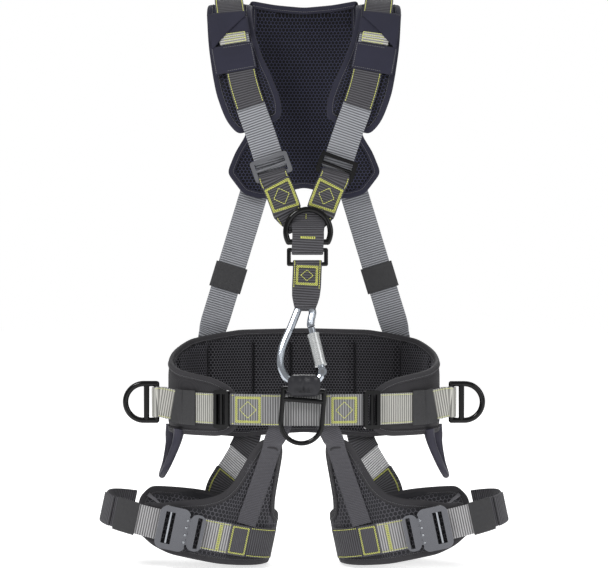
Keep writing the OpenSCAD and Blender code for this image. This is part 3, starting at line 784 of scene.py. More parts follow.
def edge_binding(name, surface, depth, material, slot, stitches, mirror=None):
    """Folded tape sewn round a pad's edge, with one row of stitches on each face."""
    points, inward, normals = surface.outline(0.5)
    half = surface.edge_t / 2 * BINDING_FIT
    loop = BINDING_PROFILE + [(x, -y) for x, y in BINDING_PROFILE[-2::-1]]
    inner = [(x + 0.06, y * 0.72) for x, y in loop[::-1]]
    rings = []
    for x, y in loop + inner:
        rings.append(points + inward * (x * depth) + normals * (y * half + np.sign(y) * 0.8 * x))
    faces = ring_faces(len(points), len(rings), closed=True)
    tape = make_object(name, interleaved(rings), faces, material, slot=slot)
    sewn = Stitches()
    level = half * 1.15 + 0.8
    for face in (-1, 1):
        row = points + inward * (depth * 0.72) + normals * (face * level)
        sewn.line(np.vstack([row, row[:1]]), np.vstack([normals, normals[:1]]) * face, pitch=3.0)
    row = sewn.make(stitches, GREY_THREAD, radius=0.36, slot=slot)
    if mirror:
        mirror_copy(tape, mirror, slot)
        mirror_copy(row, mirror + "_stitches", slot)


# -------------------------------------------------------------- honeycomb

# How far outside a pad the search for its skin starts.
CAST_FROM = 30.0


def honeycomb(name, pad, locate, s_range, z_range, pitch, material, slot, face=1, hole=0.68, rise=0.7,
              sink=0.9, mirror=None):
    """Knitted spacer mesh laid on a pad: a lattice of hexagonal ridges round open holes.

    locate takes arrays of s and z in millimetres and gives points, normals and which are inside.
    """
    radius = pitch / math.sqrt(3)
    rows = np.arange(z_range[0], z_range[1], 1.5 * radius)
    centres = []
    for i, z in enumerate(rows):
        shift = pitch / 2 if i % 2 else 0
        s = np.arange(s_range[0] + shift, s_range[1], pitch)
        centres.append(np.stack([s, np.full(len(s), z)], axis=-1))
    centres = np.concatenate(centres)
    inside = locate(centres[:, 0], centres[:, 1])[2]
    centres = centres[inside]
    angles = np.radians(30 + 60 * np.arange(6))
    ring = np.stack([np.cos(angles), np.sin(angles)], axis=-1)
    outer = (centres[:, None] + ring * radius).reshape(-1, 2)
    inner = (centres[:, None] + ring * radius * hole).reshape(-1, 2)
    _, first, where = np.unique(np.round(outer, 2), axis=0, return_index=True, return_inverse=True)
    where = where.ravel()
    outer = outer[first]
    flat = np.concatenate([outer, inner])
    points, normals, _ = locate(flat[:, 0], flat[:, 1])
    normals = normals * face
    tree = BVHTree.FromObject(pad, bpy.context.evaluated_depsgraph_get())
    heights = np.zeros(len(flat))
    for i, (p, n) in enumerate(zip(points, normals)):
        hit = tree.ray_cast(Vector((p + n * CAST_FROM) * MM), Vector(-n))
        heights[i] = CAST_FROM - hit[3] / MM if hit[0] is not None else 0
    lift = np.where(np.arange(len(flat)) < len(outer), rise, -sink)
    points = points + normals * (heights + lift)[:, None]
    base = len(outer)
    faces = []
    for c in range(len(centres)):
        for k in range(6):
            n = (k + 1) % 6
            faces.append((where[6 * c + k], where[6 * c + n], base + 6 * c + n, base + 6 * c + k))
    obj = make_object(name, points, faces, material, slot=slot)
    if mirror:
        mirror_copy(obj, mirror, slot)


# -------------------------------------------------------------- waist belt

belt_top = table([(27.5, 4), (29, 12), (33, 23), (40, 32), (50, 37), (65, 42),
                  (90, 57), (120, 84), (150, 97), (180, 99)])
belt_bottom = table([(27.5, -33), (29, -42), (32, -49), (38, -53), (60, -54),
                     (90, -55), (120, -64), (150, -75), (180, -69)])


def half_angle(q):
    """Angle from the front, the same on both sides."""
    return np.where(q > 180, 360 - q, q)


def belt_normal(q):
    r = np.radians(q)
    return unit(np.stack([np.sin(r) / BELT_A, -np.cos(r) / BELT_B, np.zeros_like(r)], axis=-1))


def belt_point(q, off=0.0):
    q = np.asarray(q, float)
    r = np.radians(q)
    off = np.broadcast_to(np.asarray(off, float), q.shape)[..., None]
    ring = np.stack([BELT_A * np.sin(r), -BELT_B * np.cos(r), np.zeros_like(r)], axis=-1)
    return ring + off * belt_normal(q)


def belt_place(q, f, off):
    h = half_angle(q)
    z = belt_bottom(h) + (belt_top(h) - belt_bottom(h)) * f
    p = belt_point(q, off - BELT_T / 2)
    p[..., 2] += z
    return p


# Places of the sewn channels on the inside of the belt, as angles from the front.
BELT_CHANNELS = (100, 130.4, 156, 174.2, 185.8, 204, 229.6, 260)
CHANNEL_SEAM = 2.6
CHANNEL_DEPTH = 6.0
CHANNEL_WIDTH = 5.0


def press_channels(points):
    """Sinks the belt's inner face along its sewn channels."""
    q = np.degrees(np.arctan2(points[:, 0] / BELT_A, -points[:, 1] / BELT_B)) % 360
    n = belt_normal(q)
    surface = belt_point(q, -BELT_T / 2)
    out = np.sum((points - surface) * n, axis=1)
    h = half_angle(q)
    edge = np.minimum(belt_top(h) - points[:, 2], points[:, 2] - belt_bottom(h))
    fade = smooth_step((edge - 8) / 10)
    scale = np.linalg.norm(belt_point(q + 0.5) - belt_point(q - 0.5), axis=1)
    for channel in BELT_CHANNELS:
        d = (q - channel) * scale
        press = CHANNEL_DEPTH * np.exp(-((d / CHANNEL_WIDTH) ** 2)) * fade * (out < 0)
        points = points + n * press[:, None]
    return points


def belt_locate(surface, margin):
    """Where the belt's inner mesh lies: inside the edges, and not on a sewn channel."""

    def locate(s, z):
        q = np.interp(s, surface.s, surface.u)
        h = half_angle(q)
        inside = (z > belt_bottom(h) + margin) & (z < belt_top(h) - margin)
        scale = np.linalg.norm(belt_point(q + 0.5) - belt_point(q - 0.5), axis=1)
        edge = np.minimum(belt_top(h) - z, z - belt_bottom(h))
        for channel in BELT_CHANNELS:
            inside &= (np.abs(q - channel) * scale > CHANNEL_SEAM) | (edge < 20)
        p = belt_point(q, -BELT_T / 2)
        p[..., 2] += z
        return p, belt_normal(q), inside

    return locate


def belt_pads():
    surface = Surface(belt_place, BELT_END, 360 - BELT_END, BELT_T, edge_t=6.5, edge_w=18, count=260)
    pad = make_pad("belt_cushion", surface, CHARCOAL, "belt_fabric", ["belt_pad"], voxel=5.0,
                   shape=press_channels)
    edge_binding("belt_edge_tape", surface, 9, BINDING, "belt_fabric", stitches="belt_edge_stitches")

    def inwards(centres, normals):
        q = np.degrees(np.arctan2(centres[:, 0] / BELT_A, -centres[:, 1] / BELT_B)) % 360
        return -np.sum(belt_normal(q) * normals, axis=1)

    paint_mesh_hole_shade(pad, inwards)
    honeycomb("belt_inner_mesh", pad, belt_locate(surface, 9), (12, surface.length - 12), (-75, 100), 4.8,
              GREY_MESH, "belt_fabric", face=-1, hole=0.66)


def belt_line(q, off=WEB_OFF):
    """Points on the webbing's centre line, off millimetres out from the pad."""
    return belt_point(q, off) + (0, 0, BELT_WEB_Z)


def belt_strap(from_q, to_q, count, off=WEB_OFF):
    q = np.linspace(from_q, to_q, count + 1)
    return Strap(belt_line(q, off), belt_normal(q))


# Angles of the two adjusters from the front, and the angle left free beside each bar.
LEFT_ADJUSTER = 34
RIGHT_ADJUSTER = 27.3
ADJUSTER_HALF = 3.6
SIDE_LEAVE = -58
SIDE_BAR = np.array([-220.0, -58, -6])
SIDE_WRAP = RING_R + 0.5 + WEB_T / 2
SIDE_LEAD = SIDE_BAR + (8, -SIDE_WRAP, 0)


def side_strap(adjuster):
    """Webbing from a belt adjuster to the side ring's bar, on the left."""
    q = np.linspace(-adjuster - ADJUSTER_HALF, SIDE_LEAVE, 9)
    turn = np.radians(-90 - 180 * np.arange(9) / 8)
    ring = np.stack([np.cos(turn), np.sin(turn), np.zeros(9)], axis=-1)
    path = np.vstack([belt_line(q), SIDE_LEAD, SIDE_BAR + SIDE_WRAP * ring, SIDE_BAR + (14, SIDE_WRAP, -0.5)])
    hints = np.vstack([belt_normal(q), (0, -1, 0), ring, (0, 1, 0)])
    return Strap(path, hints)


def belt_webbing():
    front_webbing()
    side_webbing("left", side_strap(LEFT_ADJUSTER))
    side_webbing("right", flipped(side_strap(RIGHT_ADJUSTER)))
    rear = belt_strap(80, 280, 40)
    ribbon("rear_webbing", rear, DARK_WEB, nodes=["belt_webbing_rear"])
    back = Stitches()
    back.edges(rear, 4, rear.length - 4, 20.5, SEWN)
    for k in range(5):
        middle = rear.length * (0.1 + 0.2 * k)
        back.box(rear, middle - 18, middle + 18, 17, SEWN)
    back.make("rear_webbing_stitches", slot="dark_webbing")
    belt_keepers()


# Along X, the sewn patches on the belt's front webbing.
BELT_PATCHES = ((-99, -63), (40, 76))


def front_webbing():
    """Front run between the adjusters, with a sewn patch and a second layer on each side."""
    front = belt_strap(-LEFT_ADJUSTER + ADJUSTER_HALF, RIGHT_ADJUSTER - ADJUSTER_HALF, 20, WEB_OFF + 0.6)
    # The front webbing is drawn in a darker copy of the silver webbing: painted shade.
    ribbon("front_webbing", front, SHADED_SILVER_WEB, nodes=["belt_webbing_front"])

    def at(x):
        return front.s_at(0, x)

    sewn = Stitches()
    for near, far in BELT_PATCHES:
        sewn.border(front, at(near), at(far), 18.5, SEWN)
        sewn.diamond(front, at(near) + 6, at(far) - 6, 12, SEWN)
    sewn.edges(front, at(-61), at(-32), 20.5, SEWN)
    sewn.edges(front, 3, at(-101), 20.5, SEWN)
    sewn.edges(front, at(28), at(38), 20.5, SEWN)
    sewn.make("front_webbing_stitches")
    over = WEB_T / 2 + 0.5
    for name, start, end in (("left", 0, at(-60)), ("right", at(37), front.length)):
        ribbon(f"front_webbing_layer_{name}", front, SHADED_SILVER_WEB, start, end, -over, thick=0.9, rib=0.1)


def side_webbing(side, strap):
    ribbon(f"side_webbing_{side}", strap, SILVER_WEB, nodes=[f"belt_webbing_{side}"])
    sewn = Stitches()
    sewn.edges(strap, 4, strap.length - 34, 20.3, SEWN, pitch=2.8)
    sewn.edges(strap, strap.length - 14, strap.length - 2, 20.3, SEWN, pitch=2.8)
    sewn.make(f"side_webbing_stitches_{side}", CREAM)


def belt_keepers():
    """Elastic bands over the side webbing, which follow it off the pad."""
    off = WEB_OFF + WEB_T + GAP
    q = np.linspace(-48.5, SIDE_LEAVE, 6)
    leave = belt_line(np.array(SIDE_LEAVE))
    out = unit([-0.43, -0.81, 0])
    beyond = leave + 0.4 * (SIDE_LEAD - leave) + (off - WEB_OFF + 2 * GAP) * out
    strap = Strap(np.vstack([belt_line(q, off), beyond]), np.vstack([belt_normal(q), out]), WEB_W + 6)
    both(lambda side, path: elastic_band(f"belt_keeper_{side}", path, "belt_keepers"), strap)


def elastic_band(name, strap, node):
    """One of two bands that stand for one CAD node, which the left band replaces."""
    ribbon(name, strap, ELASTIC, thick=1.6, rib=0.2, pitch=1.8,
           nodes=[node] if name.endswith("left") else [])


def both(make, strap):
    """Runs make(side, strap) for the strap and its mirror image."""
    make("left", strap)
    make("right", flipped(strap))


def flipped(strap):
    """The strap's mirror image in the middle plane."""
    other = object.__new__(Strap)
    other.length, other.s, other.w = strap.length, strap.s, strap.w
    other.c, other.side, other.up = (mirrored(v) for v in (strap.c, strap.side, strap.up))
    return other


def gear_loops():
    """Moulded loops, thick where they leave the belt and slimmer at the tip."""
    path = catmull([[-186, -60, -46], [-188, -60, -59], [-193, -60, -75], [-204, -52, -100],
                    [-213, -34, -116], [-215, -18, -117], [-211, 2, -101], [-207, 12, -76],
                    [-206, 13, -60], [-204, 13, -46]], 10)
    radius = 5.2 + 3.3 * np.linspace(-1, 1, len(path)) ** 2
    for side, points in (("left", path), ("right", mirrored(path))):
        tube(f"gear_loop_{side}_moulding", points, radius, PLASTIC, [f"gear_loop_{side}"])


def tube(name, path, radius, material, nodes, around=18):
    """A round bar along a path, with a radius at each point."""
    t = unit(np.gradient(path, axis=0))
    u = unit(np.cross(t, (1.0, 0.3, 0.1)))
    v = np.cross(t, u)
    radius = radius[:, None]
    rings = [path + radius * (u * math.cos(a) + v * math.sin(a))
             for a in np.arange(around) * math.tau / around]
    make_object(name, interleaved(rings), ring_faces(len(path), around), material, slot=slot_of(material),
                nodes=nodes)


# ------------------------------------------------------------------- yoke

back_depth = table([(290, 108), (400, 107), (480, 101), (540, 86), (566, 74), (585, 60), (600, 42),
                    (610, 28)])
back_width = table([(300, 121), (350, 121), (380, 109), (408, 92), (440, 97), (480, 116), (520, 136),
                    (560, 148), (610, 150)])
back_low = table([(0, 324), (0.25, 317), (0.55, 305), (0.8, 313), (1, 345)])
back_high = table([(0, 600), (0.3, 603), (0.56, 608), (0.585, 558), (1, 548)])
BACK_BOW = 0.0010


def back_place(u, f, off):
    h = np.abs(u)
    z = back_low(h) + (back_high(h) - back_low(h)) * f
    x = u * back_width(z)
    return np.stack([x, back_depth(z) - BACK_BOW * x * x + off, z], axis=-1)


def back_locate(margin):
    """Where the back pad's mesh lies."""

    def locate(x, z):
        wide = back_width(z)
        u = np.abs(x) / wide
        inside = (wide - np.abs(x) > margin) & (z > back_low(u) + margin) & (z < back_high(u) - margin)
        p = np.stack([x, back_depth(z) - BACK_BOW * x * x, z], axis=-1)
        slope = (back_depth(z + 2) - back_depth(z - 2)) / 4
        n = unit(np.stack([2 * BACK_BOW * x, np.ones_like(x), -slope], axis=-1))
        return p, n, inside

    return locate


def back_pads():
    surface = Surface(back_place, -1, 1, BACK_T, edge_t=5.5, edge_w=16, count=110)
    pad = make_pad("back_cushion", surface, NAVY, "navy_fabric", ["back_pad"], voxel=4.5)
    edge_binding("back_edge_tape", surface, 10, NAVY_BINDING, "navy_fabric", stitches="back_edge_stitches")
    paint_mesh_hole_shade(pad, lambda centres, normals: np.abs(normals[:, 1]))
    for name, face in (("back_inner_mesh", -1), ("back_outer_mesh", 1)):
        honeycomb(name, pad, back_locate(7), (-150, 150), (300, 610), 5.6, NAVY_MESH, "navy_fabric",
                  face=face, rise=0.8)


SHOULDER_PATH = [(-113, 58, 572), (-113, 47, 585), (-113, 28, 594), (-113, 2, 594), (-113, -24, 579),
                 (-109, -50, 545), (-101, -66, 505), (-89, -76, 465), (-74, -82, 425), (-65, -85, 402)]
# How much wider the pad is at each height than at the shoulder.
shoulder_grow = table([(395, 14), (425, 20), (465, 18), (505, 8), (545, 2), (560, 0)])


def over_strap(points, width, taper=False):
    """A strap over the shoulder: its face looks away from the body."""
    fine = catmull(points, 4)
    t = unit(np.gradient(fine, axis=0))
    hints = np.stack([np.zeros(len(t)), t[:, 2], -t[:, 1]], axis=-1)
    widths = np.full(len(fine), float(width))
    if taper:
        widths += np.where(fine[:, 1] < 0, shoulder_grow(fine[:, 2]), 0)
        n = len(fine) - 1
        index = np.arange(len(fine))
        widths *= 1 - 0.05 * np.clip((index - n + 6) / 1.3, 0, None) ** 1.7 / 3
    return Strap(fine, hints, widths, steps=3)


def shoulder_surface():
    strap = over_strap(SHOULDER_PATH, 2 * SHOULDER_W, taper=True)

    def place(u, f, off):
        c, side, up = strap.frame(u)
        half = np.interp(u, strap.s, strap.w) / 2
        off = np.broadcast_to(np.asarray(off, float), u.shape)
        return c + side * ((2 * f - 1) * half)[..., None] + up * off[..., None]

    return strap, Surface(place, 0, strap.length, SHOULDER_T, edge_t=6, edge_w=16, count=110)


def shoulder_pads():
    strap, surface = shoulder_surface()
    pad = make_pad("shoulder_cushion_left", surface, NAVY, "navy_fabric", ["shoulder_pad_left"],
                   mirror=("shoulder_cushion_right", ["shoulder_pad_right"]))
    edge_binding("shoulder_edge_tape_left", surface, 11, NAVY_BINDING, "navy_fabric",
                 mirror="shoulder_edge_tape_right", stitches="shoulder_edge_stitches_left")
    for cushion in (pad, bpy.data.objects["shoulder_cushion_right"]):
        paint_mesh_hole_shade(cushion, lambda centres, normals: np.linalg.norm(normals[:, 1:], axis=1), 0.8)

    def locate(s, a):
        c, side, up = strap.frame(s)
        half = np.interp(s, strap.s, strap.w) / 2
        inside = (np.abs(a) < half - 9) & (s > 10) & (s < strap.length - 10)
        return c + side * a[..., None], up, inside

    for name, face in (("shoulder_inner_mesh", -1), ("shoulder_outer_mesh", 1)):
        honeycomb(f"{name}_left", pad, locate, (0, strap.length), (-46, 46), 5.4, NAVY_MESH,
                  "navy_fabric", face=face, mirror=f"{name}_right", rise=0.6)
    both(chest_strap, over_strap(CHEST_PATH, WEB_W - 2))


CHEST_PATH = [(-40, 111.4, 448), (-58, 110, 480), (-80, 103.5, 515), (-100, 89, 550), (-112, 70, 580),
              (-115, 51, 598), (-116, 28, 603.5), (-115, -2, 603), (-112, -31, 586), (-106, -58, 550),
              (-98, -75, 508), (-89, -85, 465), (-77, -92, 427), (-65, -96, 394), (-55, -98.5, 364),
              (-47, -100.5, 337)]


# Heights where the pieces sewn on a chest strap begin and end, from the top down.
SHOULDER_LAYER = (600, 556)
COVER = (566, 540)
STRIPES = (542, 526)
BAND = (524, 484)
CHEST_LAYER = (486, 431)


def chest_strap(side, strap):
    """Light strap with darker layers sewn on it, a folded navy flap, a striped tape and a navy band."""
    ribbon(f"chest_webbing_{side}", strap, GREY_WEB, nodes=[f"chest_strap_{side}"])

    def at(span, inset=0):
        return strap.s_at(2, span[0] - inset), strap.s_at(2, span[1] + inset)

    (top0, top1), (low0, low1), stripes = at(SHOULDER_LAYER), at(CHEST_LAYER), at(STRIPES, 1)
    top0 -= 34
    level = WEB_T + 0.2
    lift = level + 0.9
    for name, start, end in (("shoulder_layer", top0, top1), ("chest_layer", low0, low1)):
        ribbon(f"{name}_{side}", strap, DARK_WEB, start, end, level, thick=1.8, width=WEB_W - 2)
    ribbon(f"chest_band_{side}", strap, NAVY, *at(BAND), level + 1.0, width=62, thick=1.6, rib=0.1,
           pitch=13, bow=0.8, shift=7)
    ribbon(f"striped_tape_{side}", strap, SILVER_WEB, *at(STRIPES), level + 1.4, width=40, thick=1.4,
           rib=0.1, shift=3)
    sewn = Stitches()
    sewn.edges(strap, top0 + 3, top1 - 2, 19.3, lift)
    sewn.edges(strap, low0 + 3, low1 - 2, 19.3, lift)
    sewn.bars(strap, top1 - 4, top1 - 2, 18, 2, lift)
    sewn.bars(strap, *stripes, 16, 4, level + 2.2)
    sewn.on(strap, [(place, -16) for place in stripes], level + 2.2)
    sewn.make(f"chest_stitches_{side}")
    dim = Stitches()
    for a in (-22, 36):
        dim.on(strap, [(place, a) for place in at(BAND, 2)], level + 1.9)
    dim.bars(strap, *at(BAND, 3), 20, 2, level + 2.4)
    dim.make(f"chest_band_stitches_{side}", GREY_THREAD, slot="navy_fabric")
    cover(side, strap, *at(COVER), level + 1.9)


def cover(side, strap, s0, s1, lift):
    """Navy cover over the strap, and a folded corner on top of it that slants down to its outer side."""
    low, high = -22, 36
    reach = 1.7 * (s1 - s0)

    def straight(t, a):
        return np.full(len(a), s0 + (s1 - s0) * t)

    def slant(t, a):
        return s0 - 10 + (10 + reach * (a - low) / (high - low)) * t

    patch(f"shoulder_cover_{side}", strap, lift, straight, low - 2, high)
    patch(f"shoulder_flap_{side}", strap, lift + 2.0, slant, low, high)


def patch(name, strap, lift, run, low, high, rows=14, cols=17, thick=1.3):
    """A soft patch of cloth on a strap, from low to high across it. run gives s along each row."""
    grids = [[], []]
    a = np.linspace(low, high, cols)
    drop = 2.1 * np.clip((np.abs(a) - 20) / 16, 0, 1) ** 2
    for t in np.linspace(0, 1, rows):
        wave = 0.5 * np.sin(3 * math.pi * (a - low) / (high - low) + 2 * t) * (1 - (2 * t - 1) ** 2)
        for grid, level in zip(grids, (lift - thick, lift)):
            grid.append(strap.point(run(t, a), a, level + wave - drop)[0])
    points = np.concatenate([np.array(grid).reshape(-1, 3) for grid in grids])
    make_object(name, points, skin_faces(rows, cols), NAVY, slot="navy_fabric")


# Sewn end of a chest strap: from the adjuster's lower slot over its bar, then down to the sternal ring.
CHEST_END = [(-47.5, -104.6, 335.5), (-46.8, -107, 332.5), (-45.6, -111.2, 328.5),
             (-43.5, -111.6, 322), (-37, -110.4, 309), (-28, -110.3, 286), (-24.5, -110, 276),
             (-17, -108.6, 262), (-11, -107.6, 247)]
CHEST_END_WIDTHS = [42] * 2 + [WEB_W - 2] * 5 + [34, 22]


def chest_loop(side, strap):
    """Dark webbing over the adjuster's lower bar, and the thick sewn patch below it."""
    ribbon(f"chest_end_{side}", strap, DARK_WEB, thick=2.0, nodes=[f"chest_loop_{side}"], rib=0.25)
    top, low = strap.s_at(2, 318), strap.s_at(2, 274)
    ribbon(f"chest_patch_{side}", strap, DARK_WEB, top, low, 1.5, width=WEB_W - 2, thick=1.4)
    level = 2.5
    sewn = Stitches()
    sewn.border(strap, top + 2.5, low - 6, 19.5, level)
    sewn.diamond(strap, top + 9, low - 13, 12, level)
    sewn.edges(strap, low, strap.length - 16, 17, 1.2)
    sewn.edges(strap, top - 12, top, 19.5, 1.2)
    sewn.make(f"chest_end_stitches_{side}", slot="dark_webbing")


# Ends of the back strap's straight run, and the angle from the front where it meets the belt.
BACK_TOP = np.array([-73.87, 116.14, 336.47])
BACK_LOW = np.array([-146, 108, 98.0])
BACK_STRAP_AT = -135.3


def back_straps():
    """Straps from the back pad, straight to the belt and then down behind it."""
    z = np.array([78.0, 50, 18])
    on_belt = belt_point(np.full(3, BACK_STRAP_AT), WEB_OFF + 0.4)
    on_belt[:, 0] -= (90 - z) * 0.08
    on_belt[:, 2] = z
    straight = [BACK_TOP + share * (BACK_LOW - BACK_TOP) for share in (0, 0.5, 0.86)]
    path = np.vstack([straight, BACK_LOW, on_belt])
    hints = np.vstack([[(0, 1, 0)] * 3, (-0.35, 0.94, 0), [belt_normal(np.array(BACK_STRAP_AT))] * 3])
    both(back_strap, Strap(path, hints, steps=12))


def back_strap(side, strap):
    ribbon(f"back_webbing_{side}", strap, GREY_WEB, nodes=[f"back_strap_{side}"])
    sewn = Stitches()
    for start, end in ((strap.length - 38, strap.length - 6), (4, 30)):
        sewn.box(strap, start, end, 17, WEB_T / 2 + 0.2)
    sewn.make(f"back_stitches_{side}", GREY_THREAD, slot="grey_webbing")
    keeper(side, strap)


def keeper(side, strap):
    """Elastic sleeve that slides on the back strap, as a closed band with rounded edges."""
    half_w, half_t, wall = WEB_W / 2 + 3.3, 4.0, 1.1
    middle, reach = 163, 20.7
    s = np.linspace(middle - reach, middle + reach, 40)
    c, right, up = strap.frame(s)
    ripple = 0.15 * np.cos(math.tau * s / 2.2) - 0.5 * (np.abs(s - middle) / reach) ** 12
    outer, inner, weave = [], [], []
    for turn in np.arange(36) * math.tau / 36:
        x, y = math.cos(turn), math.sin(turn)
        a = half_w * np.sign(x) * abs(x) ** 0.3
        b = half_t * np.sign(y) * abs(y) ** 0.55
        outer.append(c + right * a + up * (b * (1 + ripple / half_t))[:, None])
        inner.append(c + right * (a * (1 - wall / half_w)) + up * (b * (1 - wall / half_t)))
        weave.append(np.stack([np.full(len(s), a), s, np.zeros(len(s))], axis=-1))
    make_object(f"back_keeper_{side}_elastic", np.concatenate(inner + outer), sleeve_faces(36, len(s)),
                ELASTIC, body=f"back_keeper_{side}", slot="elastic", nodes=[f"back_keeper_{side}"],
                weave=np.concatenate(weave * 2))


# ---------------------------------------------------------- sternal point


def arc_yz(centre, r, start, stop, count=9):
    """Points on an arc in the plane X = constant, between two angles in degrees."""
    a = np.radians(np.linspace(start, stop, count))
    return np.asarray(centre) + r * np.stack([np.zeros(count), np.cos(a), np.sin(a)], axis=-1)


def sternal_fold():
    """Webbing from behind the sternal ring, round the link's upper bar and out through the ring's eye."""
    r = RING_R + GAP + WEB_T / 2
    link = (5, -119.5, 219.5)
    y = -120
    through = [(6, y - r, 238), (6, y - r + 1, 246), (6, y - 1.5, 254), (6, y + 4.4, 262), (6, y + 6.2, 269),
               (6, y + 6.3, 280)]
    path = np.vstack([[(6, y + r + 0.2, 250), (6, y + r, 240)], arc_yz(link, r, 0, -180), through])
    turn = np.radians(-180 * np.arange(9) / 8)
    hints = np.vstack([[(0, 1, 0)] * 2, np.stack([np.zeros(9), np.cos(turn), np.sin(turn)], axis=-1),
                       [(0, -1, 0)] * 6])
    widths = [46] * 13 + [48, 50, 46, 42]
    strap = Strap(path, hints, widths)
    ribbon("sternal_fold_webbing", strap, DARK_WEB, nodes=["sternal_fold"])
    sewn = Stitches()
    end = strap.length
    sewn.bars(strap, end - 47, end - 44.8, 11, 3, SEWN, pitch=2.6)
    sewn.on(strap, [(end - 16, -3), (end - 7, -3)], SEWN, pitch=2.6)
    sewn.make("sternal_fold_stitches", slot="dark_webbing")


def sternal_strap():
    """Closed strap round the link's lower bar and, gathered, round the connector's bow."""
    low = np.array([5, -119.5, 199])
    top = np.array([2, -121.1, 140.4])
    r_link = LINK_R + 0.5 + WEB_T / 2
    r_bow = BAR_R + 1.9 + WEB_T / 2
    path = np.vstack([[(4.6, low[1] + r_link, 186)], arc_yz(low, r_link, 0, 180),
                      [(4.4, -125.2, 184), (3.6, -128.4, 166), (2.6, -130, 152)], arc_yz(top, r_bow, -180, 0),
                      [(2.6, -112.9, 152), (3.6, -113.8, 166), (4.4, -114.7, 178)]])
    turn = np.radians(180 * np.arange(9) / 8)
    ring = np.stack([np.zeros(9), np.cos(turn), np.sin(turn)], axis=-1)
    hints = np.vstack([[(0, 1, 0)], ring, [(0, -1, 0)] * 3, -ring, [(0, 1, 0)] * 3])
    widths = [42] * 11 + [42, 40] + [34, 32, 30, 28, 26, 26, 26, 26, 26] + [30, 40, 42]
    strap = Strap(path, hints, widths)
    ribbon("sternal_strap_webbing", strap, DARK_WEB, nodes=["sternal_strap"])
    start = 13 + math.pi * r_link
    sewn = Stitches()
    sewn.border(strap, start + 3, start + 31, 15.5, SEWN)
    sewn.diamond(strap, start + 9, start + 25, 9, SEWN)
    sewn.edges(strap, start - 6, start + 36, 18.3, SEWN)
    sewn.make("sternal_strap_stitches", slot="dark_webbing")


# ---------------------------------------------------------- ventral point

VENTRAL_BAR = np.array([0, -151, 18.0])
CONNECTOR_LOW_Z = 30.5
SLEEVE_R = 6.7
SLEEVE_WALL = 2.8


def ventral_sleeve():
    """Satin loop round the connector's bow and the ring's bar, with a concave top on its front."""
    bends = ((0, CONNECTOR_LOW_Z), (math.pi, VENTRAL_BAR[2]))
    rows = [(start + math.pi * k / 16, centre) for start, centre in bends for k in range(17)]
    cols = 25
    points = []
    for r in (SLEEVE_R, SLEEVE_R + SLEEVE_WALL):
        for turn, centre in rows:
            y, z = math.cos(turn), math.sin(turn)
            front = max(0.0, -y)
            half = 15 + (8.5 if z >= 0 else 6) * front**1.5
            x = np.linspace(-half, half, cols)
            dip = 3.0 * np.cos(math.pi * x / (2 * half)) * (front if z >= 0 else 0)
            crease = 1.6 * np.exp(-((x / 2.2) ** 2)) * front
            ripple = 0.5 * (1 - np.sin(x * 0.55 + centre * 0.3)) * front
            depth = VENTRAL_BAR[1] + r * y + crease + ripple
            points.append(np.stack([x, depth, centre + r * z - dip], axis=-1))
    make_object("ventral_sleeve", np.concatenate(points), sleeve_faces(len(rows), cols), SLEEVE,
                slot="black_sleeve", nodes=["ventral_loop"])
    path = [(0, -133.6, -33), (0, -133.6, 8), (0, -134.4, 13), (0, -138.6, 18), (0, -139.6, 24),
            (0, -139.6, 34)]
    bridge = Strap(path, (0, 1, 0))
    ribbon("ventral_bridge_webbing", bridge, RISER_WEB, nodes=["ventral_bridge"])


# ---------------------------------------------------------------- leg loop


def soft_pow(v):
    """Power that keeps the sign, for the leg loop's rounded outline."""
    return np.sign(v) * np.abs(v) ** (2 / LEG_POWER)


def leg_outline(q):
    r = np.radians(q)
    return np.stack([LEG_A * soft_pow(np.sin(r)), -LEG_B * soft_pow(np.cos(r)), np.zeros_like(r)], axis=-1)


def leg_normal(q):
    t = unit(leg_outline(q + 1) - leg_outline(q - 1))
    return np.stack([t[..., 1], -t[..., 0], np.zeros_like(q)], axis=-1)


def leg_lean(q, z):
    """How far the pad's tall front part leans forwards above the webbing."""
    fade = np.minimum(1, np.maximum(0, (95 - np.abs(q)) / 25))
    return np.where(z > WEB_W / 2, 0.0033 * (z - WEB_W / 2) ** 2 * fade, 0)


def leg_local(q, z, off):
    """A point of the leg loop before it is tilted and put in its place."""
    q, z, off = np.broadcast_arrays(np.asarray(q, float), np.asarray(z, float), np.asarray(off, float))
    p = leg_outline(q) + off[..., None] * leg_normal(q)
    p[..., 1] -= leg_lean(q, z)
    p[..., 2] += z
    return p


def to_world(p):
    tilt = math.radians(LEG_TILT)
    x, y, z = np.moveaxis(np.asarray(p, float), -1, 0)
    return np.stack([LEG_AT[0] + x * math.cos(tilt) + z * math.sin(tilt), LEG_AT[1] + y,
                     LEG_AT[2] - x * math.sin(tilt) + z * math.cos(tilt)], axis=-1)


def turn_world(v):
    return to_world(v) - to_world(np.zeros(3))


leg_top = table([(-60, 16), (-48, 20), (-17, 30), (-9, 37), (4, 50), (13, 62), (19, 80), (24, 110), (29, 140),
                 (33, 156), (38, 162), (53, 162), (58, 156), (62, 140), (65, 70), (70, 48), (90, 42),
                 (130, 46), (180, 43), (212, 34), (222, 10)])
leg_bottom = table([(-60, 0), (-48, -8), (-26, -24), (-17, -34), (-5, -41), (20, -41), (50, -36), (75, -33),
                    (130, -38), (180, -40), (212, -32), (222, -8)])
LEG_PAD = (-30, 220)


def leg_place(q, f, off):
    z = leg_bottom(q) + (leg_top(q) - leg_bottom(q)) * f
    return to_world(leg_local(q, z, off - LEG_T / 2))


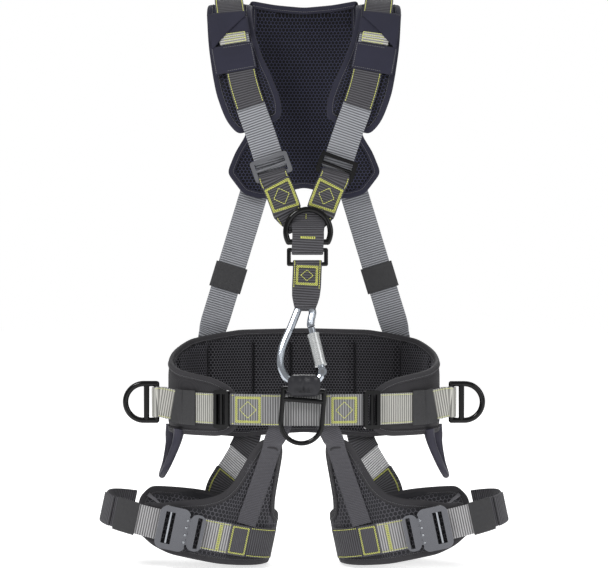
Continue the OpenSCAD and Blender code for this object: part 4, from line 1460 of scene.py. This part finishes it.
def leg_pads():
    surface = Surface(leg_place, *LEG_PAD, LEG_T, edge_t=5, edge_w=12, count=220)
    pad = make_pad("leg_cushion_left", surface, LEG_FABRIC, "leg_fabric", ["leg_pad_left"],
                   mirror=("leg_cushion_right", ["leg_pad_right"]))
    edge_binding("leg_edge_tape_left", surface, 12, BINDING, "leg_fabric", mirror="leg_edge_tape_right",
                 stitches="leg_edge_stitches_left")

    def locate(s, z):
        q = np.interp(s, surface.s, surface.u)
        inside = (z > leg_bottom(q) + 13) & (z < leg_top(q) - 13) & (s > 12) & (s < surface.length - 12)
        return to_world(leg_local(q, z, -LEG_T / 2)), turn_world(leg_normal(q)), inside

    for name, face in (("leg_outer_mesh", 1), ("leg_inner_mesh", -1)):
        honeycomb(f"{name}_left", pad, locate, (0, surface.length), (-45, 165), 6.8, GREY_MESH, "leg_fabric",
                  face=face, hole=0.6, rise=0.9, sink=1.2, mirror=f"{name}_right")


def leg_strap(from_q, to_q, count, off, width=WEB_W):
    q = np.linspace(from_q, to_q, count + 1)
    return Strap(to_world(leg_local(q, 0, off)), turn_world(leg_normal(q)), width)


def leg_straps():
    both(leg_strap_inner, leg_strap(72, 5.5, 14, WEB_OFF))
    both(leg_strap_outer, leg_strap(-15.5, -138, 24, WEB_OFF + 1.2))


def leg_strap_inner(side, strap):
    ribbon(f"leg_inner_webbing_{side}", strap, LEG_WEB, nodes=[f"leg_strap_inner_{side}"])

    def at(x):
        """Along the strap, at a distance from the middle plane."""
        return strap.s_at(0, -x if side == "left" else x)

    ribbon(f"leg_inner_layer_{side}", strap, DARK_WEB, 0, at(86), SEWN + 0.5, thick=1.2, rib=0.2)
    ribbon(f"leg_inner_patch_{side}", strap, RISER_WEB, at(85), at(111), SEWN + 0.9, thick=1.8,
           width=WEB_W + 1, rib=0.2, pitch=5.2)
    sewn = Stitches()
    sewn.bars(strap, at(128), at(124), 19, 4, SEWN, pitch=2.8)
    sewn.border(strap, at(86.5), at(109.5), 20, SEWN + 1.7, rows=2)
    sewn.edges(strap, at(112), strap.length - 4, 20.4, SEWN, pitch=2.8)
    sewn.edges(strap, 4, at(85) - 2, 20.4, SEWN + 1.2)
    sewn.make(f"leg_inner_stitches_{side}")


def leg_strap_outer(side, strap):
    turn = strap.s_at(0, -262 if side == "left" else 262)
    ribbon(f"leg_outer_webbing_{side}", strap, LEG_WEB, 0, turn, nodes=[f"leg_strap_outer_{side}"])
    # Painted shade: from here to its end, on the strap's rear part, the strap is drawn in the dark webbing.
    ribbon(f"leg_outer_shaded_tail_{side}", strap, DARK_WEB, turn, strap.length)
    ribbon(f"leg_spare_end_{side}", strap, DARK_WEB, turn + 30, turn + 66, WEB_T + 0.4, thick=1.8)
    sewn = Stitches()
    sewn.bars(strap, turn + 60, turn + 63, 19, 2, WEB_T + 1.3, pitch=2.8)
    sewn.make(f"leg_outer_stitches_{side}", GREY_THREAD, slot="grey_webbing")


def leg_keepers():
    strap = leg_strap(-31, -52, 8, WEB_OFF + 1.2 + WEB_T + GAP, WEB_W + 4)
    both(lambda side, path: elastic_band(f"leg_keeper_{side}", path, "leg_keepers"), strap)


REAR_RISER = [(-88, 129.5, -37), (-89, 129.3, -62), (-94, 125.6, -84), (-107, 110.6, -108),
              (-122, 93, -132), (-133, 84, -152), (-138, 82.4, -176)]


def risers():
    """Straps between the belt and the leg loops, in front and behind."""
    k = np.arange(8) / 7
    q = 43 - 8 * k
    on_pad = to_world(leg_local(q, 150 - 125 * k, 4.2 - 1.4 * k))
    n = leg_normal(q)
    path = np.vstack([[(-27, -130.3, -14), (-33, -130.2, -34), (-42, -127, -54)], on_pad])
    hints = np.vstack([[(0, -1, 0), (0, -1, 0), (0.1, -1, -0.1)],
                       np.stack([n[:, 0] * 0.8, n[:, 1], 0.3 * (k - 1)], axis=-1)])
    both(front_riser, Strap(path, hints, 30))
    both(rear_riser, Strap(REAR_RISER, (-0.3, 1, 0.2), WEB_W - 3))


def front_riser(side, strap):
    ribbon(f"front_riser_webbing_{side}", strap, RISER_WEB, nodes=[f"front_riser_{side}"], rib=0.15)


def rear_riser(side, strap):
    ribbon(f"rear_riser_webbing_{side}", strap, PALE_WEB, nodes=[f"rear_riser_{side}"])
    end = strap.length
    dark, sewn_from = strap.s_at(2, -101, False), strap.s_at(2, -131, False)
    sewn = Stitches()
    for name, face in (("inner", -1), ("outer", 1)):
        over = face * (WEB_T / 2 + 0.6)
        ribbon(f"rear_riser_cover_{side}_{name}", strap, DARK_WEB, 0, dark, over, thick=1.2,
               rib=0.15, width=WEB_W - 1)
        ribbon(f"rear_riser_end_{side}_{name}", strap, DARK_WEB, sewn_from, end, over, thick=1.2,
               rib=0.2, width=WEB_W - 1)
        sewn.border(strap, sewn_from + 2, end - 4, 17.5, face * (WEB_T / 2 + 1.3), rows=2)
    sewn.make(f"rear_riser_stitches_{side}")


# ---------------------------------------------------------- metal and trim

SIDES = ("left", "right")
METAL = {
    "sternal_ring": BLACK_METAL, "ventral_ring": BLACK_METAL, "sternal_link": BLACK_METAL,
    "dorsal_ring": BLACK_METAL, "dorsal_plate": PLASTIC, "gate_spring": STEEL,
    "carabiner_body": ZINC, "carabiner_gate": ZINC, "carabiner_sleeve": PALE_SLEEVE, "carabiner_pin": STEEL,
    "shoulder_adjuster_left": SHADE_METAL, "shoulder_adjuster_bar_left": SHADE_METAL,
    "shoulder_adjuster_right": BLACK_METAL, "shoulder_adjuster_bar_right": BLACK_METAL,
}
PAIRED_METAL = {"side_ring": BLACK_METAL, "belt_adjuster": BLACK_METAL, "belt_adjuster_bar": BLACK_METAL,
                "leg_buckle": GREY_METAL, "leg_buckle_bar": STEEL, "leg_tongue": GREY_METAL}
METAL.update({f"{name}_{side}": metal for name, metal in PAIRED_METAL.items() for side in SIDES})
BEVELLED = ("adjuster_left", "adjuster_right", "buckle_left", "buckle_right", "tongue_left", "tongue_right",
            "dorsal_plate")


def finish_metal():
    """Gives the CAD's rigid pieces their finish, with softened edges on the plates."""
    for name, material in METAL.items():
        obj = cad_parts[name]
        slots = obj.data.materials
        if not slots:
            slots.append(material)
        for index in range(len(slots)):
            slots[index] = material
        if name.endswith(BEVELLED):
            bevel = obj.modifiers.new("soft_edges", "BEVEL")
            bevel.width = 0.7 * MM
            bevel.segments = 2
            bevel.limit_method = "ANGLE"


# Radius of a stud at each height over the plate.
STUD = [(2.2, 0.4), (2.1, -0.4), (1.6, -1.0), (0.9, -1.35), (0.05, -1.45)]


def leg_rivets():
    """Bright domed studs along the scalloped side of each leg buckle."""
    x, y = -1.5, -LEG_B - 9.2 - 4.5
    around = 16
    turns = np.arange(around) * math.tau / around
    points, faces = [], []
    for z in (-16.5, -5.5, 5.5, 16.5):
        base = len(points)
        for r, h in STUD:
            points += [(x + r * math.cos(a), y + h, z + r * math.sin(a)) for a in turns]
        faces += [tuple(base + i for i in f) for f in ring_faces(len(STUD), around)]
    world = to_world(np.array(points))
    make_object("leg_buckle_studs_left", world, faces, STEEL, slot="grey_metal")
    make_object("leg_buckle_studs_right", mirrored(world), faces, STEEL, slot="grey_metal")


# ------------------------------------------------------------------- stage


LENS = 92.9
SENSOR = 36
CAMERA_AT = (0, -2.4, 0.17)
# Name, place, size in metres and power of each light. All point at the middle of the harness.
LIGHTS = [("key", (-1.5, -2.0, 2.2), 1.0, 48), ("fill", (1.9, -1.8, 0.9), 1.6, 16),
          ("rim", (0.4, 2.0, 1.8), 1.6, 36)]
MIDDLE = (0, 0, 0.17)
AMBIENT = 0.45
FLOOR_REACH = 12


def add_camera():
    camera = bpy.data.cameras.new("view")
    camera.lens = LENS
    camera.sensor_width = SENSOR
    obj = bpy.data.objects.new("view", camera)
    obj.location = CAMERA_AT
    obj.rotation_euler = (math.pi / 2, 0, 0)
    bpy.context.scene.collection.objects.link(obj)
    bpy.context.scene.camera = obj


def add_light(name, place, size, power):
    light = bpy.data.lights.new(name, "AREA")
    light.shape = "DISK"
    light.size = size
    light.energy = power
    obj = bpy.data.objects.new(name, light)
    obj.location = place
    obj.rotation_euler = (Vector(MIDDLE) - Vector(place)).to_track_quat("-Z", "Y").to_euler()
    bpy.context.scene.collection.objects.link(obj)


def add_world():
    """White to the camera, and a softer white to everything else."""
    world = bpy.data.worlds.new("studio")
    world.use_nodes = True
    tree = world.node_tree
    ray = tree.nodes.new("ShaderNodeLightPath")
    level = tree.nodes.new("ShaderNodeMapRange")
    level.inputs["To Min"].default_value = AMBIENT
    level.inputs["To Max"].default_value = 1.0
    tree.links.new(ray.outputs["Is Camera Ray"], level.inputs["Value"])
    sky = tree.nodes["Background"]
    sky.inputs["Color"].default_value = (1, 1, 1, 1)
    tree.links.new(level.outputs[0], sky.inputs["Strength"])
    bpy.context.scene.world = world
    bpy.context.scene.view_settings.view_transform = "Standard"


def add_floor():
    """Pale floor just under the harness."""
    z = cad_box[0][2] - 0.001
    corners = [(x * FLOOR_REACH, y * FLOOR_REACH, z) for x, y in ((-1, -1), (1, -1), (1, 1), (-1, 1))]
    mesh = bpy.data.meshes.new("floor")
    mesh.from_pydata(corners, [], [(0, 1, 2, 3)])
    n = Nodes("floor_paint")
    place, _ = n.place()
    n.link("Base Color", n.mix(n.noise(place, 0.002), [0.88] * 3, [0.92] * 3))
    n.set(Roughness=0.9, Emission_Color=(1, 1, 1, 1), Emission_Strength=1 - 0.9 * AMBIENT)
    mesh.materials.append(n.material)
    floor = bpy.data.objects.new("floor", mesh)
    bpy.context.scene.collection.objects.link(floor)


add_camera()
add_world()
for light in LIGHTS:
    add_light(*light)
add_floor()
finish_metal()
leg_rivets()
belt_pads()
belt_webbing()
gear_loops()
back_pads()
shoulder_pads()
both(chest_loop, Strap(CHEST_END, (0, -1, 0), CHEST_END_WIDTHS))
back_straps()
sternal_fold()
sternal_strap()
ventral_sleeve()
leg_pads()
leg_straps()
leg_keepers()
risers()
